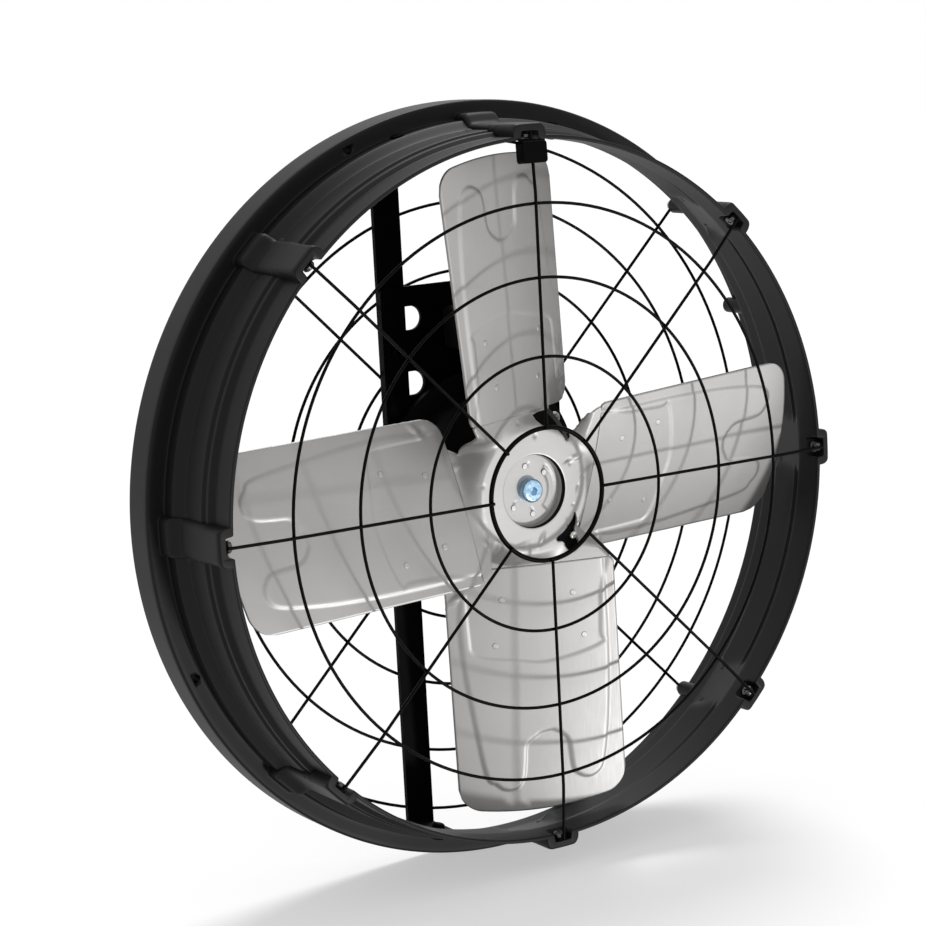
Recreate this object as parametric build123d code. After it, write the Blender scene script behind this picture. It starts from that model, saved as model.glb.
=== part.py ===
from build123d import *
from math import asin, atan2, cos, degrees, hypot, radians, sin, sqrt
import os

# Wall mounted axial fan: a moulded duct ring that hangs on a wall by its rear rim, a wire
# grille on each side, two upright flat bars with a motor plate, and a four blade impeller.
# Millimetres. The fan axis is Y, +Z is up, the front faces -Y, and the origin is the centre of
# the rim's rear face, where the fan meets the wall. Depths below are counted from the front
# grille's spokes towards the wall, and y_at() turns a depth into a Y position.

os.makedirs("parts", exist_ok=True)

# ---- Duct ring ----
IMPELLER_R = 250.0          # tip radius of the blades
TIP_GAP = 10.0              # blade tip to the inside of the ring
LIP_DEPTH = 3.5             # front lip of the ring
REAR_INSET = 0.35           # rear rings to the wall
WALL = 3.0                  # moulded wall
LIP_BAND = 22.5             # length of the plain band behind the front lip
BEAD_STEP = 3.5             # raised bead behind the band
BEAD_LENGTH = 7.0
WAIST_STEP = 5.0            # flat waist, proud of the front band
WAIST_LENGTH = 24.0
COLLAR_STEP = 6.5           # rear collar, proud of the waist
CONE_LENGTH = 8.0
RIM_STEP = 14.0             # wall rim, proud of the collar
RIM_LENGTH = 28.0

# ---- Grille pads on the ring ----
PAD_COUNT = 8
PAD_PROUD = 9.0             # proud of the front band
PAD_WIDTH = 28.0
PAD_KNUCKLE = 5.0           # raised knuckle where a pad crosses the collar
POCKET_WIDTH = 15.0
POCKET_FLOOR = 5.5          # left under a pocket, for the thread of its screw
BLIND_END = 1.0             # left closed past the end of a screw

# ---- Wire grilles ----
WIRE_R = 1.2
HUB_WIRE_R = 1.8
WELD_GAP = 0.05             # crossed wires, welded where they touch
FRONT_RING_RADII = (102.0, 160.0, 214.0)
HUB_RING_R = 49.5
FRONT_WIRE_DEPTH = 0.0      # centre of the front spokes, and the zero of all depths
SPOKE_DROP = 3.0            # how far a spoke leans back into its pocket
SPOKE_BEND_AT = 222.0       # where that lean starts, and how gently it bends
SPOKE_BEND_R = 60.0
REAR_RING_RADII = (109.0, 161.0, 213.0, 259.0)
REAR_SPOKES = 4
REAR_SWIRL = 7.0            # how far each rear spoke passes beside the axis, clockwise
REAR_GRILLE_GAP = 0.3       # bars to the rear spokes
POST_R = 6.1                # moulded columns behind the rim's flange
CLIP_WIDTH, CLIP_HEIGHT, CLIP_THICK = 21.5, 16.0, 9.0
CLIP_TOP_GAP = 1.0          # clip on the top spoke, below the lip

# ---- Fasteners: shank radius, head radius, head height ----
M4_R, M4_HEAD_R, M4_HEAD_H = 2.0, 4.0, 2.3
M5_R, M5_HEAD_R, M5_HEAD_H = 2.5, 4.6, 3.3
M6_R, M6_HEAD_R, M6_HEAD_H = 3.0, 5.0, 3.8
M10_R, M10_HEAD_R, M10_HEAD_H = 5.0, 9.0, 6.0
M5_NUT_AF, M5_NUT_H = 8.0, 4.0
M6_NUT_AF, M6_NUT_H = 10.0, 5.0
HOLE_GAP = 0.25             # screw shank to its hole
THREAD_GAP = 0.05           # screw shank to its thread
SEAT_GAP = 0.1              # seated piece to its curved or welded seat
WASHER_T = 1.0
M6_WASHER_R, M10_WASHER_R = 6.0, 9.0
RIVET_FLAT_H = 1.2          # flat closed end of a bar foot's rivet

# ---- Bars and motor plate ----
BAR_X = 67.0
BAR_WIDTH = 22.5
BAR_T = 4.0
FOOT_STEP = 1.3             # front end of a foot, behind the start of the collar
FOOT_RIVET_GAP = 0.3        # rivet of a foot to the rim's flange
PLATE_T = 3.0
SLOT_HEIGHTS = (130.0, 81.0)
SLOT_LENGTH = 22.0
SLOT_WIDTH = 18.0
PLATE_TOP_EDGE = 24.0       # upper slot to the top edge
PLATE_BOTTOM_EDGE = 21.0    # lower bolts to the bottom edge

# ---- Motor ----
MOTOR_STANDOFF = 31.5       # motor face to the front of the plate
BUSH_GAP = 8.0              # impeller bush to the motor face
SHIELD_WALL = 4.0
SHIELD_CHAMFER = 6.0
FLANGE_T = 6.0
EAR_HEIGHT = 40.0           # motor screws above and below the axis
EAR_MARGIN = 8.0            # motor screws to the flange's edge
HEAD_ROOM = 1.0             # round a screw head
HOUSING_GAP = 1.75          # housing to each bar
HOUSING_WALL = 2.5
HOUSING_SEAT = 8.0          # length of the housing held in the front shield
STACK_LENGTH = 30.0
BACK_IRON = 3.25            # stator slots to the long screws
AIR_GAP = 0.4
STATOR_SLOTS = 24
SLOT_DEPTH = 9.0
SLOT_GAP = 4.0
TOOTH_LIP = 3.0
COIL_LENGTH = 10.0
COIL_GAP = 1.0              # coil heads to the bearing bosses
THROUGH_SCREW_INSET = 5.5   # long screws to the housing's inner wall
BEARING_R, BEARING_BORE_R, BEARING_W = 23.5, 10.0, 14.0
BALL_R = 3.9
BALLS = 8
RACE_GAP = 0.05             # ball to race
SHAFT_WAIST_R = 11.5
SHAFT_NOSE_R = 9.5
BOSS_WALL = 4.0
SHIELD_RIBS = 8
RIB_PROUD, RIB_WIDTH = 2.0, 4.0
VENT_LENGTH, VENT_WIDTH = 12.0, 4.0
SPIGOT_W, SPIGOT_H = 3.0, 4.0
VENT_STEP = 22.5
VENT_LEFT_OUT = (11, 12, 13)    # places taken by the cable gland
SHAFT_HOLE_GAP = 1.0
THROUGH_LUG_R = 5.4
END_RING_W, END_RING_H, END_RING_STEP = 4.1, 6.0, 3.0

# ---- Impeller ----
BLADES = 4
BLADE_TURN = 1.3            # rest angle of the first blade
BLADE_T = 2.0
ROOT_R = 57.5
ROOT_CORNER_R = 14.0
LEAD_ROOT, LEAD_TIP = (60.0, 9.5), (66.0, 19.5)        # (sideways, depth) of the front edge
TRAIL_ROOT, TRAIL_TIP = (-60.5, 60.0), (-59.5, 62.0)   # and of the rear edge
EDGE_ROOT_R = 80.0          # the radius at which the two root values hold
CAMBER = 4.0
TIP_CORNER_R = 15.0
SPIDER_T = 2.5
HUB_R = 47.0
NECK_START_R, NECK_START_HALF = 44.0, 29.0
ARM_INSET = 0.1             # arm roots below the hub's two faces
NECK_GAP = 1.0              # end of an arm's twist to the root of its blade
NECK_END_HALF = 36.0
ARM_END_R, ARM_HALF = 128.0, 42.0
BLADE_RIVETS = ((116.0, 35.5), (117.0, -28.5), (82.0, 28.0), (82.0, -22.5))
RIVET_R, RIVET_HEAD_R, RIVET_HEAD_H = 1.6, 2.3, 0.8
RIVET_TAIL_R = 2.6
RIVET_SEAT = 0.15           # flat rivet head to the curved sheet
HUB_DEPTH = 19.5            # front face of the hub
DISH_R = 28.0
DISH_DEPTH = 8.0
BUSH_R = 14.5
BUSH_FLANGE_R = 29.0
BUSH_FLANGE_T = 5.0
BUSH_LENGTH = 26.0
KEY_SIZE = 6.0
KEY_LENGTH = 18.0
HUB_RIVET_R = 18.5
HUB_RIVET_ANGLES = (39.0, 98.0, 219.0, 278.0)

# ---- Small things on the plate and the motor ----
CAP_WIDTH, CAP_HEIGHT, CAP_THICK = 48.0, 32.0, 21.0
CAP_LUG = 12.0
CAP_GAP = 18.0              # above the motor flange
GLAND_R = 9.0
GLAND_LENGTH = 16.0
GLAND_BORE_R = 4.0
GLAND_INSET = 12.0          # gland to the edge of the motor

# ---- Wall fixing holes in the rim ----
WALL_HOLES = 4
WALL_HOLE_R = 3.2
WALL_HOLE_ANGLE = 22.5

# ---- Worked out from the values above ----
BORE_R = IMPELLER_R + TIP_GAP
BAND_R = BORE_R + WALL
WAIST_R = BAND_R + WAIST_STEP
COLLAR_R = WAIST_R + COLLAR_STEP
RIM_R = COLLAR_R + RIM_STEP
COLLAR_BORE_R = COLLAR_R - WALL
PAD_R = BAND_R + PAD_PROUD
POCKET_R = PAD_R - POCKET_FLOOR
BEAD_START = LIP_DEPTH + LIP_BAND
WAIST_START = BEAD_START + BEAD_LENGTH + 3.0
WAIST_END = WAIST_START + WAIST_LENGTH
COLLAR_START = WAIST_END + CONE_LENGTH
DISH_FLOOR = HUB_DEPTH + DISH_DEPTH
BUSH_DEPTH = DISH_FLOOR + SPIDER_T
MOTOR_FACE_DEPTH = BUSH_DEPTH + BUSH_LENGTH + BUSH_GAP
PLATE_DEPTH = MOTOR_FACE_DEPTH + MOTOR_STANDOFF   # front face of the motor plate
BAR_DEPTH = PLATE_DEPTH + PLATE_T
BAR_BACK = BAR_DEPTH + BAR_T
REAR_WIRE_DEPTH = BAR_BACK + REAR_GRILLE_GAP + WIRE_R
REAR_RING_DEPTH = REAR_WIRE_DEPTH + 2 * WIRE_R + WELD_GAP
WALL_DEPTH = REAR_RING_DEPTH + WIRE_R + REAR_INSET
RIM_START = WALL_DEPTH - RIM_LENGTH
FLANGE_DEPTH = PLATE_DEPTH - FLANGE_T
HOUSING_START = PLATE_DEPTH - HOUSING_SEAT
FRONT_BEARING = MOTOR_FACE_DEPTH + SHIELD_WALL
STACK_START = FRONT_BEARING + BEARING_W + COIL_GAP + COIL_LENGTH
STACK_END = STACK_START + STACK_LENGTH
REAR_BEARING = STACK_END + COIL_LENGTH + COIL_GAP
MOTOR_REAR = REAR_BEARING + BEARING_W + SHIELD_WALL
EAR_SCREW_R = hypot(BAR_X, EAR_HEIGHT)
FLANGE_R = EAR_SCREW_R + EAR_MARGIN
SHIELD_R = EAR_SCREW_R - M6_HEAD_R - HEAD_ROOM
HOUSING_R = BAR_X - BAR_WIDTH / 2 - HOUSING_GAP
THROUGH_SCREW_R = HOUSING_R - HOUSING_WALL - THROUGH_SCREW_INSET
SLOT_ROOT_R = THROUGH_SCREW_R - M5_R - HOLE_GAP - BACK_IRON
STATOR_BORE_R = SLOT_ROOT_R - SLOT_DEPTH - TOOTH_LIP
ROTOR_R = STATOR_BORE_R - AIR_GAP
GLAND_DROP = HOUSING_R - GLAND_INSET
LOWER_BOLT = -sqrt((FLANGE_R + M6_HEAD_R + HEAD_ROOM) ** 2 - BAR_X ** 2)
PLATE_BOLT_HEIGHTS = (LOWER_BOLT, (SLOT_HEIGHTS[0] + SLOT_HEIGHTS[1]) / 2)
PLATE_TOP = SLOT_HEIGHTS[0] + PLATE_TOP_EDGE
PLATE_BOTTOM = LOWER_BOLT - PLATE_BOTTOM_EDGE
CAP_MIDDLE = FLANGE_R + CAP_GAP + CAP_HEIGHT / 2
EYE_R = M5_HEAD_R - 0.3                           # centre line of a spoke's eye
EYE_OFFSET = WIRE_R + M5_HEAD_R + 0.2             # spoke to the centre of its eye
FRONT_EYE_DEPTH = FRONT_WIRE_DEPTH + SPOKE_DROP + EYE_OFFSET
FRONT_EYE_R = POCKET_R - WIRE_R - SEAT_GAP
POCKET_DEPTH = FRONT_EYE_DEPTH + EYE_R + WIRE_R + 1.5
SHEET_OFFSET = BLADE_T / 2 + SEAT_GAP + SPIDER_T / 2
NECK_END_R = ROOT_R - NECK_GAP
POST_PITCH_R = (COLLAR_R + RIM_R - WALL) / 2
REAR_EYE_LOOP_R = M4_R + WIRE_R + 0.4             # centre line of a rear spoke's eye
REAR_LEAN = degrees(asin(REAR_SWIRL / POST_PITCH_R))
FOOT_LENGTH = BAR_BACK - COLLAR_START - FOOT_STEP


def y_at(depth):
    return depth - WALL_DEPTH


def turned(shape, angle):
    """Turn a piece made at the +X side about the fan axis, anticlockwise from the front."""
    return Rot(0, -angle, 0) * shape


def spun(points):
    """A solid of revolution about the fan axis from (radius, depth) points."""
    outline = Polyline(*[(r, y_at(d)) for r, d in points], close=True)
    return revolve(make_face(outline), Axis.Y)


def tube(outer, inner, start, end):
    return spun([(inner, start), (outer, start), (outer, end), (inner, end)])


def rod(radius, start, end):
    """A plain round bar on the fan axis."""
    return Pos(0, y_at(start), 0) * Rot(-90, 0, 0) * Cylinder(
        radius, end - start, align=(Align.CENTER, Align.CENTER, Align.MIN))


def radial(shape, radius, depth, angle):
    """Put a piece made along +Z so that it points outwards at this radius."""
    return turned(Pos(radius, y_at(depth), 0) * Rot(0, 90, 0) * shape, angle)


def axial(shape, x, depth, z):
    """Put a piece made along +Z so that it points at the wall."""
    return Pos(x, y_at(depth), z) * Rot(-90, 0, 0) * shape


def pin(radius, length, start=0.0):
    return Pos(0, 0, start) * Cylinder(radius, length, align=(Align.CENTER, Align.CENTER, Align.MIN))


def pan_screw(shank_r, head_r, head_h, length):
    """A cross recessed pan head screw: its seat is at Z 0 and its shank runs along +Z."""
    head = fillet(pin(head_r, head_h, -head_h).edges().group_by(Axis.Z)[0], head_h * 0.45)
    recess = Box(head_r * 1.1, 1.1, head_h) + Box(1.1, head_r * 1.1, head_h)
    return head + pin(shank_r, length) - Pos(0, 0, -head_h) * recess


def hex_nut(shank_r, across_flats, height):
    body = extrude(RegularPolygon(across_flats / 2, 6, major_radius=False), height)
    return body - pin(shank_r + THREAD_GAP, height)


def washer(shank_r, outer_r, thickness=WASHER_T):
    return pin(outer_r, thickness) - pin(shank_r + HOLE_GAP, thickness)


def save(node, solids):
    """Write one sub-part; like fasteners are several solids in one node."""
    solids = list(solids) if isinstance(solids, (list, tuple)) else [solids]
    pieces = [piece for solid in solids for piece in solid.solids()]
    shape = pieces[0] if len(pieces) == 1 else Compound(children=pieces)
    export_step(shape, f"parts/{node}.step")


# ---- Duct ring: one corrugated wall that steps out to a rim, with eight pads ----

def inner_line(points, thickness):
    """The line inside a wall: each stretch moved in by the wall and met with the next."""
    moved = []
    for (r0, d0), (r1, d1) in zip(points, points[1:]):
        run = hypot(r1 - r0, d1 - d0)
        shift_r, shift_d = -(d1 - d0) / run * thickness, (r1 - r0) / run * thickness
        moved.append(((r0 + shift_r, d0 + shift_d), (r1 + shift_r, d1 + shift_d)))
    line = [moved[0][0]]
    for (a, b), (c, e) in zip(moved, moved[1:]):
        ab = (b[0] - a[0], b[1] - a[1])
        ce = (e[0] - c[0], e[1] - c[1])
        cross = ab[0] * ce[1] - ab[1] * ce[0]
        share = ((c[0] - a[0]) * ce[1] - (c[1] - a[1]) * ce[0]) / cross
        line.append((a[0] + ab[0] * share, a[1] + ab[1] * share))
    return line + [moved[-1][1]]


def duct_ring():
    bead_end = BEAD_START + BEAD_LENGTH
    skin = [
        (BAND_R, LIP_DEPTH), (BAND_R, BEAD_START),
        (BAND_R + BEAD_STEP, BEAD_START + 3), (BAND_R + BEAD_STEP, bead_end - 0.5),
        (BAND_R + BEAD_STEP - 0.8, bead_end + 0.8),
        (WAIST_R, WAIST_START), (WAIST_R, WAIST_END),
        (COLLAR_R, COLLAR_START), (COLLAR_R, RIM_START),
        (RIM_R - 2, RIM_START), (RIM_R, RIM_START + 2), (RIM_R, WALL_DEPTH),
    ]
    ring = spun(skin + inner_line(skin, WALL)[::-1])
    knuckle_r = COLLAR_R + PAD_KNUCKLE
    pad_line = Polyline(*[(r, y_at(d)) for r, d in (
        (BORE_R + 1, LIP_DEPTH), (PAD_R, LIP_DEPTH), (PAD_R, WAIST_END), (knuckle_r, COLLAR_START + 1),
        (knuckle_r, RIM_START + WALL / 2), (COLLAR_R - WALL / 2, RIM_START + WALL / 2),
        (COLLAR_R - WALL / 2, COLLAR_START), (BORE_R + 2, WAIST_END - 8), (BORE_R + 1, LIP_DEPTH + 8),
    )], close=True)
    pad_angle = degrees(PAD_WIDTH / PAD_R)
    pad = turned(revolve(make_face(pad_line), Axis.Y, revolution_arc=pad_angle), pad_angle / 2)
    pocket_box = Box(POCKET_R - BORE_R + 8, POCKET_DEPTH + 4, POCKET_WIDTH,
                     align=(Align.MAX, Align.MAX, Align.CENTER))
    pocket_box = fillet(pocket_box.edges().filter_by(Axis.X).group_by(Axis.Y)[-1], 4.0)
    pocket = Pos(POCKET_R, y_at(POCKET_DEPTH), 0) * pocket_box
    step = 360 / PAD_COUNT
    pad_angles = [step * i for i in range(PAD_COUNT)]
    ring = ring + [turned(pad, a) for a in pad_angles]
    boss = rod(POST_R, RIM_START + 1, WALL_DEPTH)
    post = rod(POST_R, RIM_START + 1, REAR_WIRE_DEPTH - WIRE_R - SEAT_GAP)
    wall_angles = [WALL_HOLE_ANGLE + i * 360 / WALL_HOLES for i in range(WALL_HOLES)]
    ring = ring + [turned(Pos(POST_PITCH_R, 0, 0) * boss, a) for a in wall_angles]
    ring = ring + [turned(Pos(POST_PITCH_R, 0, 0) * post, a) for a in rear_eye_angles()]
    hole = Pos(POST_PITCH_R, 0, 0) * rod(WALL_HOLE_R, RIM_START - 1, WALL_DEPTH + 1)
    front_thread = pin(M5_R + THREAD_GAP, POCKET_FLOOR - BLIND_END + 1, -1)
    rear_thread = Pos(POST_PITCH_R, 0, 0) * rod(M4_R + THREAD_GAP, REAR_THREAD_END, WALL_DEPTH)
    cuts = [turned(pocket, a) for a in pad_angles]
    cuts += [radial(front_thread, POCKET_R, FRONT_EYE_DEPTH, a) for a in pad_angles]
    cuts += [turned(rear_thread, a) for a in rear_eye_angles()]
    cuts += [radial(pin(M6_R + HOLE_GAP, 20, -10), COLLAR_R, FOOT_BOLT_DEPTH, a) for a in foot_angles()]
    cuts += [turned(hole, a) for a in wall_angles]
    return ring - cuts


REAR_THREAD_END = REAR_WIRE_DEPTH - 12.0


def rear_eye_angles():
    """Each rear spoke runs at 45 degrees but passes beside the axis, so its eye lies further round."""
    return [45 - REAR_LEAN + i * 360 / REAR_SPOKES for i in range(REAR_SPOKES)]


# ---- Wire grilles: rings welded to straight spokes, each spoke ending in a screwed eye ----

def wire_ring(radius, wire_r, depth):
    return Pos(0, y_at(depth), 0) * Rot(90, 0, 0) * Torus(radius, wire_r)


def eye(radius, depth):
    return Pos(radius, y_at(depth), 0) * Rot(0, 90, 0) * Torus(EYE_R, WIRE_R)


def front_spokes():
    y_hub = y_at(FRONT_WIRE_DEPTH)
    path = FilletPolyline(
        (HUB_RING_R - HUB_WIRE_R, y_hub, 0), (SPOKE_BEND_AT, y_hub, 0),
        (FRONT_EYE_R, y_at(FRONT_WIRE_DEPTH + SPOKE_DROP), 0), radius=SPOKE_BEND_R)
    spoke = sweep(Plane(origin=path @ 0, x_dir=(0, 0, 1), z_dir=path % 0) * Circle(WIRE_R), path)
    spoke = spoke + eye(FRONT_EYE_R, FRONT_EYE_DEPTH)
    return [turned(spoke, i * 360 / PAD_COUNT) for i in range(PAD_COUNT)]


def front_rings():
    """The rings lie behind the spokes, from the hub ring outwards."""
    back = FRONT_WIRE_DEPTH + WIRE_R + WELD_GAP
    rings = [wire_ring(r, WIRE_R, back + WIRE_R) for r in FRONT_RING_RADII]
    return [wire_ring(HUB_RING_R, HUB_WIRE_R, back + HUB_WIRE_R)] + rings


def rear_spokes():
    """Straight spokes, each ending in an eye that lies in the plane of the grille."""
    inner = sqrt((REAR_RING_RADII[0] - WIRE_R) ** 2 - REAR_SWIRL ** 2)
    length = sqrt(POST_PITCH_R ** 2 - REAR_SWIRL ** 2) - inner
    wire = Pos(-length, 0, 0) * Rot(0, 90, 0) * pin(WIRE_R, length - REAR_EYE_LOOP_R)
    loop = Rot(90, 0, 0) * Torus(REAR_EYE_LOOP_R, WIRE_R)
    spoke = Pos(POST_PITCH_R, y_at(REAR_WIRE_DEPTH), 0) * (turned(wire, REAR_LEAN) + loop)
    return [turned(spoke, a) for a in rear_eye_angles()]


def rear_rings():
    """The rings lie behind the spokes, towards the wall."""
    return [wire_ring(r, WIRE_R, REAR_RING_DEPTH) for r in REAR_RING_RADII]


def front_grille_screws():
    """One screw through each eye into the floor of its pocket."""
    seat = FRONT_EYE_R - WIRE_R - SEAT_GAP
    screw = pan_screw(M5_R, M5_HEAD_R, M5_HEAD_H, PAD_R - BLIND_END - SEAT_GAP - seat)
    return [radial(screw, seat, FRONT_EYE_DEPTH, i * 360 / PAD_COUNT) for i in range(PAD_COUNT)]


def rear_grille_screws():
    """One screw through each eye into its column behind the rim's flange."""
    seat = REAR_WIRE_DEPTH + WIRE_R + SEAT_GAP
    screw = Rot(180, 0, 0) * pan_screw(M4_R, M4_HEAD_R, M4_HEAD_H, seat - REAR_THREAD_END - SEAT_GAP)
    return [turned(axial(screw, POST_PITCH_R, seat, 0), a) for a in rear_eye_angles()]


def grille_clip():
    """A moulded block that grips the top spoke just below the lip."""
    height = BORE_R - CLIP_TOP_GAP - CLIP_HEIGHT / 2
    block = Box(CLIP_WIDTH, CLIP_THICK, CLIP_HEIGHT)
    block = fillet(block.edges().filter_by(Axis.Y), 2.5)
    block = fillet(block.faces().sort_by(Axis.Y)[0].edges(), 0.8)
    channel = pin(WIRE_R + THREAD_GAP, CLIP_HEIGHT + 60, -CLIP_HEIGHT / 2 - 30)
    lean = degrees(atan2(SPOKE_DROP, FRONT_EYE_R - SPOKE_BEND_AT))
    depth = SPOKE_DROP * (height - SPOKE_BEND_AT) / (FRONT_EYE_R - SPOKE_BEND_AT)
    return Pos(0, y_at(FRONT_WIRE_DEPTH + depth), height) * Rot(-lean, 0, 0) * (block - channel)


# ---- Upright bars: flat steel, each end bent forward into a foot riveted to the collar ----
# A foot lies flat against the round collar, so only its two long edges touch the wall.
FOOT_FACE_R = sqrt((COLLAR_BORE_R - SEAT_GAP) ** 2 - (BAR_WIDTH / 2) ** 2)
FOOT_BOLT_DEPTH = RIM_START - M6_HEAD_R - FOOT_RIVET_GAP


def foot_angle():
    return degrees(asin(BAR_X / (FOOT_FACE_R - BAR_T / 2)))


def foot_angles():
    return [90 + side * foot_angle() + flip for flip in (0, 180) for side in (1, -1)]


def support_bar(side):
    """side is -1 for the left bar and 1 for the right one, seen from the front."""
    tall = Box(BAR_WIDTH, BAR_T, 2 * FOOT_FACE_R, align=(Align.CENTER, Align.MIN, Align.CENTER))
    bar = Pos(side * BAR_X, y_at(BAR_DEPTH), 0) * tall
    # each end is cut square to the ring, then carries its foot
    block = Box(BAR_T, FOOT_LENGTH, BAR_WIDTH, align=(Align.MAX, Align.MAX, Align.CENTER))
    foot = Pos(FOOT_FACE_R, y_at(BAR_BACK), 0) * block
    trim = Pos(FOOT_FACE_R, y_at(BAR_DEPTH), 0) * Box(
        BAR_WIDTH, 4 * BAR_T, 4 * BAR_WIDTH, align=(Align.MIN, Align.CENTER, Align.CENTER))
    for angle in (90 - side * foot_angle(), 270 + side * foot_angle()):
        bar = bar - turned(trim, angle)
        bar = bar + turned(foot, angle)
        bar = bar - radial(pin(M6_R + HOLE_GAP, 20, -10), FOOT_FACE_R, FOOT_BOLT_DEPTH, angle)
    heights = list(PLATE_BOLT_HEIGHTS) + [z for x, z in ear_places() if x > 0]
    for height in heights:
        bar = bar - axial(pin(M6_R + HOLE_GAP, BAR_T + 2, -1), side * BAR_X, BAR_DEPTH, height)
    return bar


def bar_foot_rivets():
    """A rivet through each foot and the collar: round head inside, flat end outside."""
    seat = FOOT_FACE_R - BAR_T
    grip = COLLAR_R + SEAT_GAP - seat
    head = fillet(pin(M6_HEAD_R, M6_HEAD_H, -M6_HEAD_H).edges().group_by(Axis.Z)[0], M6_HEAD_H * 0.7)
    body = head + pin(M6_R, grip) + pin(M6_HEAD_R, RIVET_FLAT_H, grip)
    return [radial(body, seat, FOOT_BOLT_DEPTH, a) for a in foot_angles()]


# ---- Motor plate: pressed steel across both bars, with lightening slots beside them ----

def motor_plate():
    half = BAR_X + BAR_WIDTH / 2
    sheet = Pos(0, y_at(PLATE_DEPTH), (PLATE_TOP + PLATE_BOTTOM) / 2) * Box(
        2 * half, PLATE_T, PLATE_TOP - PLATE_BOTTOM, align=(Align.CENTER, Align.MIN, Align.CENTER))
    sheet = fillet(sheet.edges().filter_by(Axis.Y), 4.0)
    cuts = [rod(HOUSING_R + SEAT_GAP, PLATE_DEPTH - 1, BAR_DEPTH + 1)]
    slot = axial(extrude(SlotOverall(SLOT_LENGTH, SLOT_WIDTH), PLATE_T + 2), 0, PLATE_DEPTH - 1, 0)
    slot_x = BAR_X - BAR_WIDTH / 2 - 1
    bolt_hole = pin(M6_R + HOLE_GAP, PLATE_T + 2, -1)
    for side in (-1, 1):
        cuts += [Pos(side * slot_x, 0, height) * slot for height in SLOT_HEIGHTS]
        cuts += [axial(bolt_hole, side * BAR_X, PLATE_DEPTH, height) for height in PLATE_BOLT_HEIGHTS]
    cuts += [axial(bolt_hole, x, PLATE_DEPTH, z) for x, z in ear_places()]
    cuts.append(axial(pin(M5_R + HOLE_GAP, PLATE_T + 2, -1), *cap_screw_place()))
    return sheet - cuts


def plate_fasteners():
    places = [(side * BAR_X, z) for side in (-1, 1) for z in PLATE_BOLT_HEIGHTS]
    grip = PLATE_T + BAR_T + WASHER_T + M6_NUT_H
    rear = BAR_BACK
    screw = pan_screw(M6_R, M6_HEAD_R, M6_HEAD_H, grip + 1)
    save("plate_screws", [axial(screw, x, PLATE_DEPTH, z) for x, z in places])
    spots = places + ear_places()
    save("plate_washers", [axial(washer(M6_R, M6_WASHER_R), x, rear, z) for x, z in spots])
    nut = hex_nut(M6_R, M6_NUT_AF, M6_NUT_H)
    save("plate_nuts", [axial(nut, x, rear + WASHER_T, z) for x, z in spots])


# ---- Motor: cast front shield on the plate, steel housing through it, rear shield ----

def ear_places():
    """The motor is bolted through the plate and both bars."""
    return [(x, z) for x in (-BAR_X, BAR_X) for z in (-EAR_HEIGHT, EAR_HEIGHT)]


def motor_front_shield():
    boss_r = BEARING_R + BOSS_WALL
    shaft_hole_r = SHAFT_NOSE_R + SHAFT_HOLE_GAP
    face, back = MOTOR_FACE_DEPTH, FRONT_BEARING + BEARING_W
    inside = face + SHIELD_WALL
    cavity_r = HOUSING_R - HOUSING_WALL
    shield = spun([
        (shaft_hole_r, face), (SHIELD_R - SHIELD_CHAMFER, face), (SHIELD_R, face + SHIELD_CHAMFER),
        (SHIELD_R, FLANGE_DEPTH), (FLANGE_R, FLANGE_DEPTH), (FLANGE_R, PLATE_DEPTH),
        (HOUSING_R, PLATE_DEPTH), (HOUSING_R, HOUSING_START), (cavity_r, HOUSING_START),
        (cavity_r, inside), (boss_r, inside), (boss_r, back), (BEARING_R, back),
        (BEARING_R, FRONT_BEARING), (shaft_hole_r, FRONT_BEARING),
    ])
    rib = Pos(boss_r, y_at(face + 0.5), 0) * Box(
        SHIELD_R - SHIELD_CHAMFER - boss_r, RIB_PROUD + 0.5, RIB_WIDTH,
        align=(Align.MIN, Align.MAX, Align.CENTER))
    ribs = [turned(rib, (i + 0.5) * 360 / SHIELD_RIBS) for i in range(SHIELD_RIBS)]
    lugs = [axial(pin(THROUGH_LUG_R, HOUSING_START - inside + 1, -1), x, inside, z) for x, z in through_places()]
    holes = [axial(pin(M6_R + HOLE_GAP, FLANGE_T + 2, -1), x, FLANGE_DEPTH, z) for x, z in ear_places()]
    depth = HOUSING_START - inside + 1
    holes += [axial(pin(M5_R + THREAD_GAP, depth), x, inside, z) for x, z in through_places()]
    return shield + ribs + lugs - holes


def motor_housing():
    return tube(HOUSING_R - THREAD_GAP, HOUSING_R - HOUSING_WALL, HOUSING_START + SEAT_GAP,
                MOTOR_REAR - SHIELD_WALL)


def motor_rear_shield():
    boss_r = BEARING_R + BOSS_WALL
    face = MOTOR_REAR - SHIELD_WALL
    spigot_r = HOUSING_R - HOUSING_WALL - THREAD_GAP
    spigot_bore_r = spigot_r - SPIGOT_W
    edge = SHIELD_WALL / 2
    shield = spun([
        (0, face), (BEARING_R, face), (BEARING_R, REAR_BEARING), (boss_r, REAR_BEARING), (boss_r, face),
        (spigot_bore_r, face), (spigot_bore_r, face - SPIGOT_H), (spigot_r, face - SPIGOT_H),
        (spigot_r, face), (HOUSING_R, face), (HOUSING_R, MOTOR_REAR - edge),
        (HOUSING_R - edge, MOTOR_REAR), (0, MOTOR_REAR),
    ])
    gland_hole = axial(pin(GLAND_BORE_R + 2, SHIELD_WALL + 2, -1), 0, face, -GLAND_DROP)
    holes = [axial(pin(M5_R + HOLE_GAP, SHIELD_WALL + 2, -1), x, face, z) for x, z in through_places()]
    vent = axial(extrude(SlotOverall(VENT_LENGTH, VENT_WIDTH), SHIELD_WALL + 2),
                 (boss_r + spigot_bore_r) / 2, face - 1, 0)
    vents = [turned(vent, VENT_STEP * i) for i in range(1, round(360 / VENT_STEP)) if i not in VENT_LEFT_OUT]
    return shield - gland_hole - holes - vents


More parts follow.
